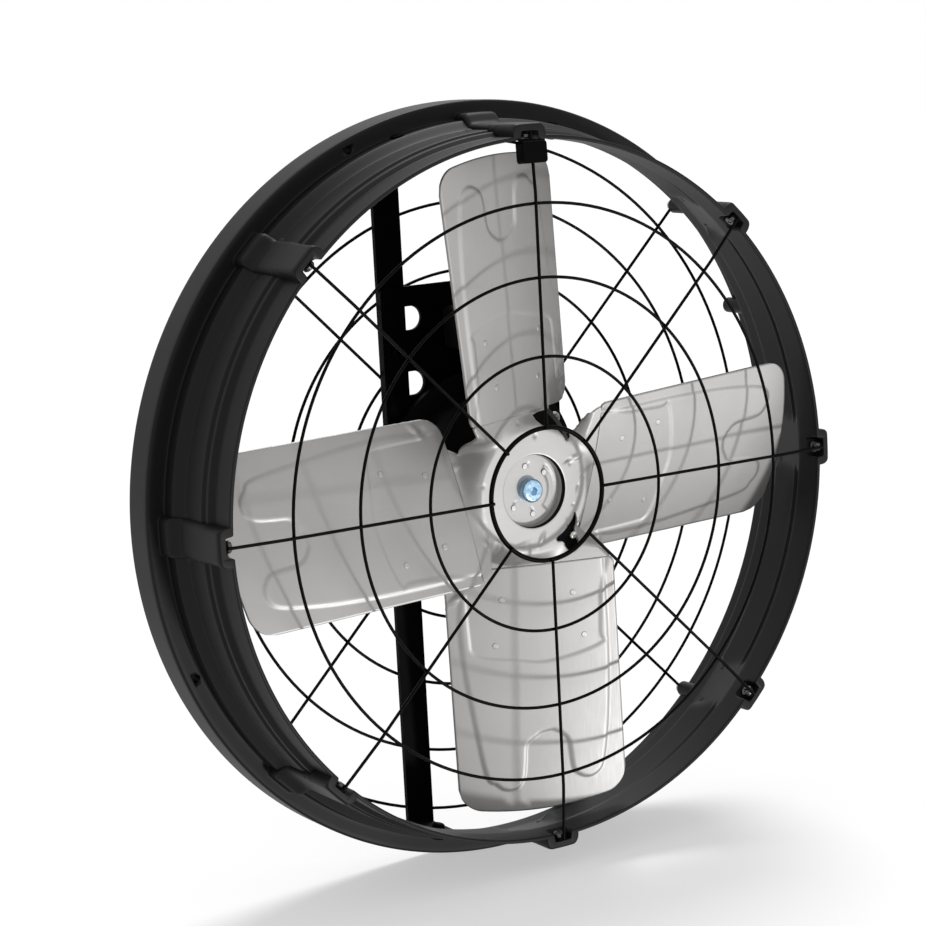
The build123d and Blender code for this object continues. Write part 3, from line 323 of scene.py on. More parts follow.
boss = lathe("wall_hole_tubes", [(HOLE_R, BOSS_FROM), (BOSS_R, BOSS_FROM), (BOSS_R, WALL_DEPTH - BOSS_EDGE),
                                 (BOSS_R - BOSS_EDGE, WALL_DEPTH), (HOLE_R, WALL_DEPTH)], 32)
post = lathe("rear_columns", [(POST_HOLE_R, BOSS_FROM), (BOSS_R, BOSS_FROM), (BOSS_R, POST_END - POST_EDGE),
                              (BOSS_R - POST_EDGE, POST_END), (POST_HOLE_R, POST_END)], 32)
cutter = lathe("cutter", [(ON_AXIS, CUT_FROM), (HOLE_R, CUT_FROM), (HOLE_R, CUT_TO), (ON_AXIS, CUT_TO)], 32)
copies(boss, wall_angles)
copies(post, rear_angles)
copies(cutter, wall_angles)
holes = duct_ring.modifiers.new("wall_holes", "BOOLEAN")
holes.object, holes.operation, holes.solver = cutter, "DIFFERENCE", "EXACT"
plain_mesh(duct_ring)
bpy.data.objects.remove(cutter)
for piece in (boss, post):
    piece.data.materials.append(ring_plastic)
for piece in (duct_ring, boss, post):
    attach(piece, "frame")
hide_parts("duct_ring")


# ---- Wire grilles ----
# Black coated steel wire, 2.4 mm thick and 3.6 mm round the front hub ring. The rings are welded behind
# the spokes. Each front spoke ends in an eye in its pocket, and each rear spoke in an eye that lies in the
# plane of the grille. A small moulded block grips the top spoke.
WIRE, HUB_WIRE, WELD = 1.2, 1.8, 0.05
FRONT_RINGS, HUB_RING, HUB_LAP = (102.0, 160.0, 214.0), 49.5, 0.8
REAR_RINGS = (109.0, 161.0, 213.0, 259.0)
REAR_SPOKE_DEPTH, REAR_RING_DEPTH = 104.0, 106.45
SPOKE_DROP, SPOKE_BEND = 3.0, 222.0
EYE, EYE_OFFSET, REAR_EYE = 4.3, 6.0, 3.6
FRONT_EYE_AT = 265.2
WIRE_SIDES, RING_POINTS, EYE_POINTS = 14, 160, 28


def wire_tree():
    """Geometry Nodes: a path of edges with a gauge at each point becomes round wire."""
    tree = bpy.data.node_groups.new("bent_wire", "GeometryNodeTree")
    tree.interface.new_socket("Path", in_out="INPUT", socket_type="NodeSocketGeometry")
    tree.interface.new_socket("Sides", in_out="INPUT", socket_type="NodeSocketInt")
    tree.interface.new_socket("Thickness", in_out="INPUT", socket_type="NodeSocketFloat")
    tree.interface.new_socket("Finish", in_out="INPUT", socket_type="NodeSocketMaterial")
    tree.interface.new_socket("Wire", in_out="OUTPUT", socket_type="NodeSocketGeometry")
    nodes, links = tree.nodes, tree.links
    given, result = nodes.new("NodeGroupInput"), nodes.new("NodeGroupOutput")
    curve = nodes.new("GeometryNodeMeshToCurve")
    gauge = nodes.new("GeometryNodeInputNamedAttribute")
    gauge.data_type = "FLOAT"
    gauge.inputs["Name"].default_value = "gauge"
    scaled = nodes.new("ShaderNodeMath")
    scaled.operation = "MULTIPLY"
    outline = nodes.new("GeometryNodeCurvePrimitiveCircle")
    outline.inputs["Radius"].default_value = 1.0
    skin = nodes.new("GeometryNodeCurveToMesh")
    skin.inputs["Fill Caps"].default_value = True
    shaded = nodes.new("GeometryNodeSetShadeSmooth")
    real = nodes.new("GeometryNodeRealizeInstances")
    finish = nodes.new("GeometryNodeSetMaterial")
    links.new(given.outputs["Path"], curve.inputs["Mesh"])
    links.new(gauge.outputs["Attribute"], scaled.inputs[0])
    links.new(given.outputs["Thickness"], scaled.inputs[1])
    links.new(scaled.outputs["Value"], skin.inputs["Scale"])
    links.new(given.outputs["Sides"], outline.inputs["Resolution"])
    links.new(curve.outputs["Curve"], skin.inputs["Curve"])
    links.new(outline.outputs["Curve"], skin.inputs["Profile Curve"])
    links.new(skin.outputs["Mesh"], shaded.inputs["Geometry"])
    links.new(shaded.outputs["Geometry"], real.inputs["Geometry"])
    links.new(real.outputs["Geometry"], finish.inputs["Geometry"])
    links.new(given.outputs["Finish"], finish.inputs["Material"])
    links.new(finish.outputs["Geometry"], result.inputs["Wire"])
    return tree


def set_inputs(modifier, tree, **values):
    """Set a modifier's sockets by their names in its tree."""
    for item in tree.interface.items_tree:
        if item.name in values:
            modifier[item.identifier] = values[item.name]


bent_wire = wire_tree()
wire_coat, nodes, links, shader = new_material("wire_coat")
coat = object_noise(nodes, links, 260, 3)
shader.inputs["Base Color"].default_value = (0.0015, 0.0015, 0.0015, 1)
links.new(spread(nodes, links, coat.outputs["Fac"], 0.34, 0.46), shader.inputs["Roughness"])
shader.inputs["Specular IOR Level"].default_value = 0.04
bumped(nodes, links, shader, coat.outputs["Fac"], 0.0001, 0.25)


def circle_path(radius, depth):
    """A ring of the grilles."""
    a = full_turn(RING_POINTS)
    return np.stack([radius * np.cos(a), np.full(len(a), depth), radius * np.sin(a)], axis=-1)


def front_spoke():
    """Straight from the hub ring, then leaning back over the lip into its pocket."""
    r = np.concatenate([np.linspace(HUB_RING - HUB_LAP, 214, 12), np.linspace(216, 228, 10),
                        [245, FRONT_EYE_AT]])
    lean = np.clip((r - SPOKE_BEND) / (FRONT_EYE_AT - SPOKE_BEND), 0, 1)
    return np.stack([r, SPOKE_DROP * lean ** 1.05, np.zeros(len(r))], axis=-1)


def eye_path(radius, depth):
    """The eye of a front spoke, which stands on edge in its pocket."""
    a = full_turn(EYE_POINTS)
    return np.stack([np.full(len(a), radius), depth + EYE * np.cos(a), EYE * np.sin(a)], axis=-1)


def wire_piece(name, runs, loops):
    """Round wire along open runs and closed loops, each (points, wire radius)."""
    points, edges, gauge = [], [], []
    for path, wire, closed in [(*run, False) for run in runs] + [(*loop, True) for loop in loops]:
        first, count = len(points), len(path)
        points += list(path)
        gauge += [wire / 1000] * count
        edges += [(first + i, first + i + 1) for i in range(count - 1)]
        edges += [(first + count - 1, first)] if closed else []
    mesh = bpy.data.meshes.new(name)
    mesh.from_pydata(metres(points).tolist(), edges, [])
    mesh.attributes.new("gauge", "FLOAT", "POINT").data.foreach_set("value", gauge)
    piece = bpy.data.objects.new(name, mesh)
    bpy.context.collection.objects.link(piece)
    modifier = piece.modifiers.new("wire", "NODES")
    modifier.node_group = bent_wire
    set_inputs(modifier, bent_wire, Sides=WIRE_SIDES, Thickness=1.0, Finish=wire_coat)
    plain_mesh(piece)
    outwards(piece)
    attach(piece, "frame")
    return piece


front_ring_depth = 2 * WIRE + WELD
front_angles = [i * math.pi / 4 for i in range(PADS)]
front_eye_depth = SPOKE_DROP + EYE_OFFSET
spokes = wire_piece("front_spoke_wires", [(turned(front_spoke(), a), WIRE) for a in front_angles],
                    [(turned(eye_path(FRONT_EYE_AT, front_eye_depth), a), WIRE) for a in front_angles])
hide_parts("front_grille_spokes")
rings = wire_piece("front_ring_wires", [], [(circle_path(r, front_ring_depth), WIRE) for r in FRONT_RINGS]
                   + [(circle_path(HUB_RING, WIRE + WELD + HUB_WIRE), HUB_WIRE)])
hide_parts("front_grille_rings", "front_grille_outer_ring")
inner = math.sqrt((REAR_RINGS[0] - WIRE) ** 2 - REAR_SWIRL ** 2)
run = np.linspace(REAR_EYE, math.sqrt(BOSS_RING_R ** 2 - REAR_SWIRL ** 2) - inner, 10)
straight = np.stack([BOSS_RING_R - run * math.cos(REAR_LEAN), np.full(len(run), REAR_SPOKE_DEPTH),
                     -run * math.sin(REAR_LEAN)], axis=-1)
bend = full_turn(EYE_POINTS)
rear_loop = np.stack([BOSS_RING_R + REAR_EYE * np.cos(bend), np.full(len(bend), REAR_SPOKE_DEPTH),
                      REAR_EYE * np.sin(bend)], axis=-1)
spokes = wire_piece("rear_spoke_wires", [(turned(straight, a), WIRE) for a in rear_angles],
                    [(turned(rear_loop, a), WIRE) for a in rear_angles])
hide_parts("rear_grille_spokes")
rings = wire_piece("rear_ring_wires", [], [(circle_path(r, REAR_RING_DEPTH), WIRE) for r in REAR_RINGS])
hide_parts("rear_grille_rings", "rear_grille_third_ring")


# ---- Screws and nuts ----
# Cross recessed pan head screws and hexagon nuts of zinc plated steel, bright at the back and blackened in
# the front grille. Their solids are right as they are, and take a plated finish with softened edges.
zinc, nodes, links, shader = new_material("zinc_plate")
mottle = object_noise(nodes, links, 420, 4)
links.new(colour_range(nodes, links, mottle.outputs["Fac"], (0.40, 0.41, 0.36), (0.62, 0.62, 0.56)),
          shader.inputs["Base Color"])
shader.inputs["Metallic"].default_value = 1.0
links.new(spread(nodes, links, mottle.outputs["Fac"], 0.26, 0.40), shader.inputs["Roughness"])
bumped(nodes, links, shader, mottle.outputs["Fac"], 0.00005, 0.4, 0.0003)


def finished(material, *names):
    """Give CAD nodes their finish."""
    for name in names:
        mesh = NODES[name].data
        mesh.materials.clear()
        mesh.materials.append(material)


finished(zinc, "rear_grille_screws", "plate_nuts", "motor_screws", "motor_through_screws", "capacitor_screw",
         "capacitor_nut")
black_zinc, nodes, links, shader = new_material("black_zinc")
patches = object_noise(nodes, links, 380, 3)
links.new(colour_range(nodes, links, patches.outputs["Fac"], (0.05, 0.05, 0.048), (0.13, 0.13, 0.12)),
          shader.inputs["Base Color"])
shader.inputs["Metallic"].default_value = 1.0
links.new(spread(nodes, links, patches.outputs["Fac"], 0.28, 0.42), shader.inputs["Roughness"])
bumped(nodes, links, shader, patches.outputs["Fac"], 0.00005, 0.4, 0.0003)
finished(black_zinc, "front_grille_screws")


# ---- Bars and motor plate ----
# Two upright flat steel bars, bent forward at both ends into feet that are riveted to the collar, and the
# slotted plate that is screwed across them. All are painted a deep black with the screws in place.
paint, nodes, links, shader = new_material("black_paint")
wave = object_noise(nodes, links, 60, 5)
shader.inputs["Base Color"].default_value = (0.001, 0.001, 0.001, 1)
links.new(spread(nodes, links, wave.outputs["Fac"], 0.42, 0.56), shader.inputs["Roughness"])
shader.inputs["Specular IOR Level"].default_value = 0.03
bumped(nodes, links, shader, wave.outputs["Fac"], 0.00012, 0.3, 0.0006)
finished(paint, "support_bar_left", "support_bar_right", "bar_foot_rivets", "motor_plate", "plate_screws",
         "plate_washers", "grille_clip")


# ---- Motor ----
# Black enamelled castings hold the front and the rear bearing, a drawn steel tube joins them, and four
# long screws clamp them together. Inside are the laminated stack, two coil heads, the rotor and the bearings.
casting, nodes, links, shader = new_material("black_casting")
sand = object_noise(nodes, links, 700, 4)
shader.inputs["Base Color"].default_value = (0.003, 0.003, 0.0031, 1)
links.new(spread(nodes, links, sand.outputs["Fac"], 0.45, 0.62), shader.inputs["Roughness"])
shader.inputs["Specular IOR Level"].default_value = 0.12
bumped(nodes, links, shader, sand.outputs["Fac"], 0.0002, 0.6, 0.0008)
finished(casting, "motor_front_shield", "motor_rear_shield")

tube_enamel, nodes, links, shader = new_material("tube_enamel")
drawn = object_noise(nodes, links, 90, 3, (1, 0.15, 1))
shader.inputs["Base Color"].default_value = (0.008, 0.008, 0.0085, 1)
links.new(spread(nodes, links, drawn.outputs["Fac"], 0.26, 0.36), shader.inputs["Roughness"])
bumped(nodes, links, shader, drawn.outputs["Fac"], 0.00006, 0.3, 0.0004)
finished(tube_enamel, "motor_housing")

laminations, nodes, links, shader = new_material("laminated_steel")
layers = nodes.new("ShaderNodeTexWave")
layers.bands_direction = "Y"
layers.inputs["Scale"].default_value = 300
layers.inputs["Distortion"].default_value = 0.4
where = nodes.new("ShaderNodeTexCoord")
links.new(where.outputs["Object"], layers.inputs["Vector"])
links.new(colour_range(nodes, links, layers.outputs["Fac"], (0.11, 0.11, 0.12), (0.26, 0.26, 0.27)),
          shader.inputs["Base Color"])
shader.inputs["Metallic"].default_value = 0.9
shader.inputs["Roughness"].default_value = 0.45
bumped(nodes, links, shader, layers.outputs["Fac"], 0.0001, 0.5)
finished(laminations, "stator_core", "rotor_core")

copper, nodes, links, shader = new_material("varnished_copper")
turns = object_noise(nodes, links, 700, 2, (1, 3, 1))
links.new(colour_range(nodes, links, turns.outputs["Fac"], (0.22, 0.055, 0.02), (0.55, 0.19, 0.07)),
          shader.inputs["Base Color"])
shader.inputs["Metallic"].default_value = 0.7
shader.inputs["Roughness"].default_value = 0.33
bumped(nodes, links, shader, turns.outputs["Fac"], 0.0008, 1.0)
finished(copper, "stator_coils")

ground_steel, nodes, links, shader = new_material("ground_steel")
ground = object_noise(nodes, links, 500, 3, (1, 8, 1))
shader.inputs["Base Color"].default_value = (0.56, 0.56, 0.57, 1)
shader.inputs["Metallic"].default_value = 1.0
links.new(spread(nodes, links, ground.outputs["Fac"], 0.16, 0.3), shader.inputs["Roughness"])
bumped(nodes, links, shader, ground.outputs["Fac"], 0.00003, 0.4, 0.0003)
finished(ground_steel, "bearing_outer_races", "bearing_inner_races", "bearing_balls", "motor_shaft",
         "shaft_key")

smooth_plastic, nodes, links, shader = new_material("smooth_plastic")
flow = object_noise(nodes, links, 45, 3)
fine = object_noise(nodes, links, 2400, 2)
shader.inputs["Base Color"].default_value = (0.012, 0.012, 0.0125, 1)
links.new(spread(nodes, links, flow.outputs["Fac"], 0.30, 0.42), shader.inputs["Roughness"])
shader.inputs["Specular IOR Level"].default_value = 0.4
bumped(nodes, links, shader, fine.outputs["Fac"], 0.00004, 0.5, 0.0008)
finished(smooth_plastic, "run_capacitor", "cable_gland")


# ---- Blades ----
# Four blades pressed from 2 mm aluminium sheet. A raised panel with two fingers towards the tip stiffens
# each one, and a flat seat near the root takes the rivets of the hub's arm behind it.
TIP_R, ROOT_R, TIP_CORNER, WIDTH = 250.0, 57.5, 15.0, 120.0
TRAIL_ROOT_CORNER, LEAD_ROOT_CORNER = 14.0, 4.0
BLADE_TURN, SHEET, CAMBER = math.radians(1.3), 2.0, 4.0
LEAD, TRAIL = ((60.0, 9.5), (66.0, 19.5)), ((-60.5, 60.0), (-59.5, 62.0))
EDGE_FROM = 80.0
PANEL_RISE, PANEL_SLOPE, SEAT_SINK, SEAT_SLOPE = 1.3, 3.2, 0.8, 2.4
RIDGE_R, RIDGE_S, RIDGE_RISE = 79.0, -54.0, 1.8
DENT_R, DENT_S, DENT_SIZE, DENT_SINK = 72.0, -52.0, 3.5, 1.2
COLUMNS, ROWS, EVEN, PACKED = 118, 176, 0.93, 0.07    # the last two share the columns out to the edges
# outlines of the raised panel and of the rivet seat: (distance out from the axis, sideways)
PANEL = [(40, 50), (60, 51), (130, 53), (176, 52), (205, 49.5), (221, 46.5), (227, 42), (229, 36),
         (226.5, 29), (220, 24), (199, 21.5), (192, 17), (188, 11), (187.4, 7.8), (188.5, 1), (191, -3),
         (197, -10), (210, -11.5), (222, -13), (229.5, -17), (231.5, -22), (230.5, -28), (226, -33),
         (217, -40), (166, -47), (128, -51), (97, -52), (75, -50), (40, -48)]
SEAT = [(40, 48), (86, 48.3), (116, 47.7), (123.5, 49.5), (130, 30), (133.5, 5), (130, -15), (126, -36),
        (121, -45), (110, -46.5), (77, -47.5), (40, -47)]


def edge_at(r, ends):
    """(sideways, depth) of a blade's edge at a distance from the axis."""
    share = (r - EDGE_FROM) / (TIP_R - EDGE_FROM)
    return [a + (b - a) * share for a, b in zip(*ends)]


def sheet_depth(r, s):
    """Depth of the plain sheet's middle, as in the solid."""
    lead, trail = edge_at(r, LEAD), edge_at(r, TRAIL)
    share = (s - trail[0]) / (lead[0] - trail[0])
    return trail[1] + (lead[1] - trail[1]) * share - 4 * CAMBER * share * (1 - share)


def distance_to(outline, r, s):
    """Signed distance to a closed outline, negative inside it."""
    nearest = np.full(r.shape, 1e9)
    inside = np.zeros(r.shape, bool)
    for (r0, s0), (r1, s1) in zip(outline, outline[1:] + outline[:1]):
        run = np.array((r1 - r0, s1 - s0))
        t = np.clip(((r - r0) * run[0] + (s - s0) * run[1]) / (run @ run), 0, 1)
        nearest = np.minimum(nearest, np.hypot(r - r0 - t * run[0], s - s0 - t * run[1]))
        if s0 != s1:
            crossing = ((s0 > s) != (s1 > s)) & (r < (r1 - r0) * (s - s0) / (s1 - s0) + r0)
            inside ^= crossing
    return np.where(inside, -nearest, nearest)


def smooth_curve(outline, steps=6):
    """A rounded copy of a closed outline."""
    points = np.array(outline, float)
    out = []
    for i in range(len(points)):
        p0, p1, p2, p3 = (points[(i + k) % len(points)] for k in (-1, 0, 1, 2))
        for k in range(steps):
            t = k / steps
            out.append(tuple(0.5 * ((2 * p1) + (p2 - p0) * t + (2 * p0 - 5 * p1 + 4 * p2 - p3) * t * t
                                    + (3 * p1 - p0 - 3 * p2 + p3) * t ** 3)))
    return out


def step_up(distance, width):
    """1 inside an outline and 0 outside it, over a smooth slope."""
    return smooth(0.5 - distance / width)


def blade_grid():
    """Points of the pressed sheet's middle for the blade at angle 0, and their (r, s) places."""
    share = np.linspace(0, 1, COLUMNS)
    share = 0.5 + (share - 0.5) * EVEN + PACKED * 0.5 * np.sign(share - 0.5) * np.abs(2 * share - 1) ** 9
    along = np.linspace(0, 1, ROWS)
    edge = np.maximum(np.minimum(share, 1 - share), 0) * WIDTH
    root_corner = np.where(share < 0.5, TRAIL_ROOT_CORNER, LEAD_ROOT_CORNER)
    tip_cut, root_cut = (corner - np.sqrt(corner ** 2 - np.maximum(corner - edge, 0) ** 2)
                         for corner in (TIP_CORNER, root_corner))
    middle = TRAIL[1][0] + (LEAD[1][0] - TRAIL[1][0]) * share
    last = np.sqrt(TIP_R ** 2 - middle ** 2) - tip_cut
    first = ROOT_R + root_cut
    r = first[None, :] + (last - first)[None, :] * along[:, None]
    lead, trail = edge_at(r, LEAD), edge_at(r, TRAIL)
    s = trail[0] + (lead[0] - trail[0]) * share[None, :]
    d = sheet_depth(r, s)
    d -= PANEL_RISE * step_up(distance_to(smooth_curve(PANEL), r, s), PANEL_SLOPE)
    d += SEAT_SINK * step_up(distance_to(smooth_curve(SEAT, 4), r, s), SEAT_SLOPE)
    # a short ridge and a dent beside it at the corner of the root
    along_ridge = s - RIDGE_S
    d -= RIDGE_RISE * np.exp(-((r - RIDGE_R + 0.5 * along_ridge) / 2.6) ** 2 - (along_ridge / 4.5) ** 2)
    d += DENT_SINK * np.exp(-((r - DENT_R) / DENT_SIZE) ** 2 - ((s - DENT_S) / DENT_SIZE) ** 2)
    return r, s, d


aluminium, nodes, links, shader = new_material("satin_aluminium")
uv = nodes.new("ShaderNodeUVMap")
uv.uv_map = "sheet"
rolled = nodes.new("ShaderNodeMapping")
rolled.inputs["Scale"].default_value = (6, 160, 1)
links.new(uv.outputs["UV"], rolled.inputs["Vector"])
streaks = nodes.new("ShaderNodeTexNoise")
streaks.inputs["Scale"].default_value = 9
streaks.inputs["Detail"].default_value = 6
links.new(rolled.outputs["Vector"], streaks.inputs["Vector"])
cloud = object_noise(nodes, links, 14, 3)
links.new(colour_range(nodes, links, cloud.outputs["Fac"], (0.385, 0.378, 0.372), (0.43, 0.42, 0.413)),
          shader.inputs["Base Color"])
shader.inputs["Metallic"].default_value = 0.65
links.new(spread(nodes, links, streaks.outputs["Fac"], 0.46, 0.55), shader.inputs["Roughness"])
bumped(nodes, links, shader, streaks.outputs["Fac"], 0.00002, 0.35)


def thickened(piece, thickness):
    """Give a surface a thickness in mm, half to each side."""
    solid = piece.modifiers.new("sheet", "SOLIDIFY")
    solid.thickness, solid.offset = thickness / 1000, 0
    plain_mesh(piece)
    outwards(piece)


def pressed(piece, plan, thickness):
    """Make a surface into aluminium sheet of the impeller. The plan is each point's UV, in metres."""
    layer = piece.data.uv_layers.new(name="sheet")
    corner = np.zeros(len(piece.data.loops), int)
    piece.data.loops.foreach_get("vertex_index", corner)
    layer.data.foreach_set("uv", plan[corner].ravel())
    piece.data.materials.append(aluminium)
    thickened(piece, thickness)
    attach(piece, "impeller")


blade_r, blade_s, blade_d = blade_grid()
blade_plan = np.stack([blade_r.ravel(), blade_s.ravel()], axis=-1) / 1000
for i in range(4):
    points = turned(np.stack([blade_r, blade_d, blade_s], axis=-1), BLADE_TURN + i * math.pi / 2)
    blade = new_piece(f"pressed_blade_{i + 1}", points.reshape(-1, 3), grid_faces(ROWS, COLUMNS), 60)
    pressed(blade, blade_plan, SHEET)
    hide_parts(f"blade_{i + 1}")


# ---- Hub sheet and arms ----
# The middle of the impeller: a 2 mm aluminium pressing with a dished centre, which twists from the hub's
# plane into the root of each blade and drops steeply to the next one. Four arms run behind the blades, and
# a black plate is screwed on behind a hole in the pressing.
HUB_FACE, DISH_R, DISH_DEPTH, BOLT_HOLE_R, HUB_FLAT_R = 19.5, 28.4, 8.0, 5.25, 46.0
DISH_WALL = (0.0270, 0.0287)              # radii between which the dish's steep faces lie and take the painted shade, m
RECESS_IN, RECESS_OUT, RECESS_EDGE = 17.0, 24.0, 0.8      # an arc in the dish's floor, to the right
RECESS_HALF_TURN, RECESS_EASE, RECESS_SINK = 52.0, 8.0, 0.6
JOINT, NEXT_EDGE = 57.4, 49.5             # how far out the sheet meets its own blade and ends by the next
SHEET_CUT = ((JOINT, 57.0), (51.0, 54.0), (44.0, NEXT_EDGE))    # between those, its corner is cut off
SHEET_FROM, SHEET_TO, DENSE_FROM = math.radians(-33), math.radians(57), math.radians(40)
DROP_R, DROP_RUN = 42.0, 28.0             # the drop to the next blade starts at DROP_FROM degrees at this
DROP_FROM, DROP_LATER, DROP_TO = 28.0, 16.7, 58.0    # radius, and DROP_LATER further on at DROP_RUN more
ARM_SHEET, ARM_START, ARM_END, ARM_NECK_HALF, ARM_END_HALF = 2.5, 54.5, 128.0, 36.0, 42.0
ARM_CORNER = 10.0
BEHIND = SHEET / 2 + 0.1 + ARM_SHEET / 2  # middle of a blade's sheet to the middle of its arm's
MARKS = [                                 # small pressed marks: x, z, half length, half width, turn, height
    (38.9, 20.7, 4.2, 1.6, 10, 1.5), (31.5, 19.0, 3.2, 0.8, 15, -1.5), (-56, 23, 3.2, 2.0, 20, 1.2),
    (2.6, 41.2, 1.5, 1.3, 70, -1.2), (-10.3, 51.2, 1.5, 1.5, 0, -1.2), (3.7, -37.5, 4.5, 1.5, 60, 1.8),
    (-15.6, -39.2, 5.0, 1.0, 12, 1.2), (-47.4, -32.4, 3.5, 1.2, -60, 1.5), (-30, -38.9, 3.4, 0.8, -70, -1.5),
    (38.7, -2.6, 2.4, 0.7, 75, -1.5), (-45.9, 9.9, 1.6, 1.6, 0, -1.0), (34, -14.8, 1.0, 0.8, 60, -0.9),
    (55.9, -16.1, 1.0, 1.0, 0, -0.9), (32.9, 16.3, 0.9, 0.9, 0, -0.9), (43.5, 5.5, 1.2, 0.7, 10, -0.8),
    (0, 19.4, 1.6, 1.2, 40, -0.7), (-13.4, -8, 1.2, 1.0, 30, -0.7), (2.5, -15.5, 2.0, 1.0, -60, -0.7),
    (16.7, 13.8, 2.8, 1.1, -60, -0.7)]
# outlines of the gap at the upper right and of the hole at the lower right: x, z
UPPER_GAP = [(8.8, 54), (7.9, 51.2), (11.7, 47), (19.7, 44.2), (24.9, 41.1), (28, 37.8), (31.1, 33.6),
             (35.6, 36.1), (40.4, 40.7), (44, 47.2), (47.4, 55.1), (51, 70), (30, 75), (10, 70)]
LOWER_HOLE = [(35.5, -20.3), (33.2, -24.8), (30.5, -28.2), (24.4, -34), (18.8, -37.2), (17.6, -39),
              (19, -40.8), (23.4, -41.9), (25.8, -46.6), (29.2, -49.8), (32.9, -48.2), (35.7, -43),
              (37.6, -36), (37.3, -28.3)]
SNAP, WELD_WITHIN = 0.7, 0.00002          # points this near to a cut edge (mm) or to each other (m) meet
BACK_SHEET, BACK_LAP, BACK_GAP, BACK_SCREW = 1.2, 3.5, 3.2, (35.4, -39.2)


def hub_depth(radius):
    """Depth of the hub sheet's middle: flat rim, steep wall and flat dish floor."""
    return HUB_FACE + SHEET / 2 + DISH_DEPTH * smooth((DISH_R - radius) / 1.0)


def hub_sheet_depth(rho, phi):
    """Depth of the sheet's middle at a radius and an angle from its blade's own line."""
    u, s = rho * np.cos(phi), rho * np.sin(phi)
    own = sheet_depth(np.maximum(u, JOINT), np.clip(s, -61, 61))
    following = sheet_depth(np.maximum(s, NEXT_EDGE), np.clip(-u, -61, 61))
    drop_from = np.radians(DROP_FROM + DROP_LATER * (rho - DROP_R) / DROP_RUN)
    drop = smooth((phi - drop_from) / (np.radians(DROP_TO) - drop_from))
    twisted = own * (1 - drop) + following * drop
    joint = np.minimum(JOINT / np.cos(phi), 60)
    share = smooth((rho - HUB_FLAT_R) / (joint - HUB_FLAT_R))
    return hub_depth(rho) * (1 - share) + twisted * share


def sheet_end(phi):
    """How far the sheet reaches at an angle."""
    angles = [math.atan2(s, u) for u, s in SHEET_CUT]
    own = JOINT / np.cos(np.minimum(phi, angles[0]))
    corner = np.interp(phi, angles, [math.hypot(s, u) for u, s in SHEET_CUT])
    following = NEXT_EDGE / np.sin(np.maximum(phi, angles[-1]))
    return np.where(phi <= angles[0], own, np.where(phi <= angles[-1], corner, following))


rho = np.concatenate([np.linspace(BOLT_HOLE_R, 26.8, 24), np.linspace(27.2, 28.8, 9),
                      np.linspace(29.6, 80, 54)])
phi = np.concatenate([np.linspace(SHEET_FROM, DENSE_FROM, 72)[:-1],
                      np.linspace(DENSE_FROM, SHEET_TO, 25)[:-1]])
out = np.minimum(rho[:, None], sheet_end(phi)[None, :])
at = np.repeat(phi[None, :], len(rho), axis=0)
quarter = np.stack([out * np.cos(at), hub_sheet_depth(out, at), out * np.sin(at)], axis=-1)
hub_points = np.concatenate([turned(quarter, BLADE_TURN + i * math.pi / 2) for i in range(4)], axis=1)
x, d, z = np.moveaxis(hub_points, -1, 0)


def nearest_on(outline, x, z):
    """Distances to a closed outline, and its nearest points."""
    best, near_x, near_z = np.full(x.shape, 1e9), x.copy(), z.copy()
    for (x0, z0), (x1, z1) in zip(outline, outline[1:] + outline[:1]):
        length = (x1 - x0) ** 2 + (z1 - z0) ** 2
        t = np.clip(((x - x0) * (x1 - x0) + (z - z0) * (z1 - z0)) / length, 0, 1)
        there_x, there_z = x0 + t * (x1 - x0), z0 + t * (z1 - z0)
        closer = np.hypot(x - there_x, z - there_z) < best
        best = np.where(closer, np.hypot(x - there_x, z - there_z), best)
        near_x, near_z = np.where(closer, there_x, near_x), np.where(closer, there_z, near_z)
    return best, near_x, near_z


def cut_sheet(name, points, faces):
    """A surface of some of a grid's faces, welded together and without the spare points."""
    piece = new_piece(name, points, faces.tolist(), 60)
    work = bmesh.new()
    work.from_mesh(piece.data)
    bmesh.ops.remove_doubles(work, verts=work.verts, dist=WELD_WITHIN)
    bmesh.ops.delete(work, geom=[v for v in work.verts if not v.link_faces], context="VERTS")
    work.to_mesh(piece.data)
    work.free()
    return piece


hub_faces = np.array(grid_faces(len(rho), len(phi) * 4, False, True))
kept = np.ones(len(hub_faces), bool)
for outline in (smooth_curve(UPPER_GAP, 3), smooth_curve(LOWER_HOLE, 4)):
    best, near_x, near_z = nearest_on(outline, x, z)
    x, z = np.where(best < SNAP, near_x, x), np.where(best < SNAP, near_z, z)
    centre_x, centre_z = x.ravel()[hub_faces].mean(axis=1), z.ravel()[hub_faces].mean(axis=1)
    kept &= distance_to(outline, centre_x, centre_z) > 0
own_phi = (np.arctan2(z, x) - BLADE_TURN - SHEET_FROM) % (math.pi / 2) + SHEET_FROM
moved = np.abs(x - hub_points[..., 0]) + np.abs(z - hub_points[..., 2]) > 0
d = np.where(moved, hub_sheet_depth(np.hypot(x, z), own_phi), d)
for mark_x, mark_z, length, width, tilt, height in MARKS:
    c, s = math.cos(math.radians(tilt)), math.sin(math.radians(tilt))
    along, across = (x - mark_x) * c + (z - mark_z) * s, (z - mark_z) * c - (x - mark_x) * s
    d = d - height * np.exp(-(along / length) ** 2 - (across / width) ** 2)
radius = np.hypot(x, z)
recess = smooth((radius - RECESS_IN) / RECESS_EDGE) * smooth((RECESS_OUT - radius) / RECESS_EDGE)
recess = recess * smooth((RECESS_HALF_TURN - np.abs(np.degrees(np.arctan2(z, x)))) / RECESS_EASE)
d = d + RECESS_SINK * recess
hub = cut_sheet("pressed_hub", np.stack([x, d, z], axis=-1).reshape(-1, 3), hub_faces[kept])

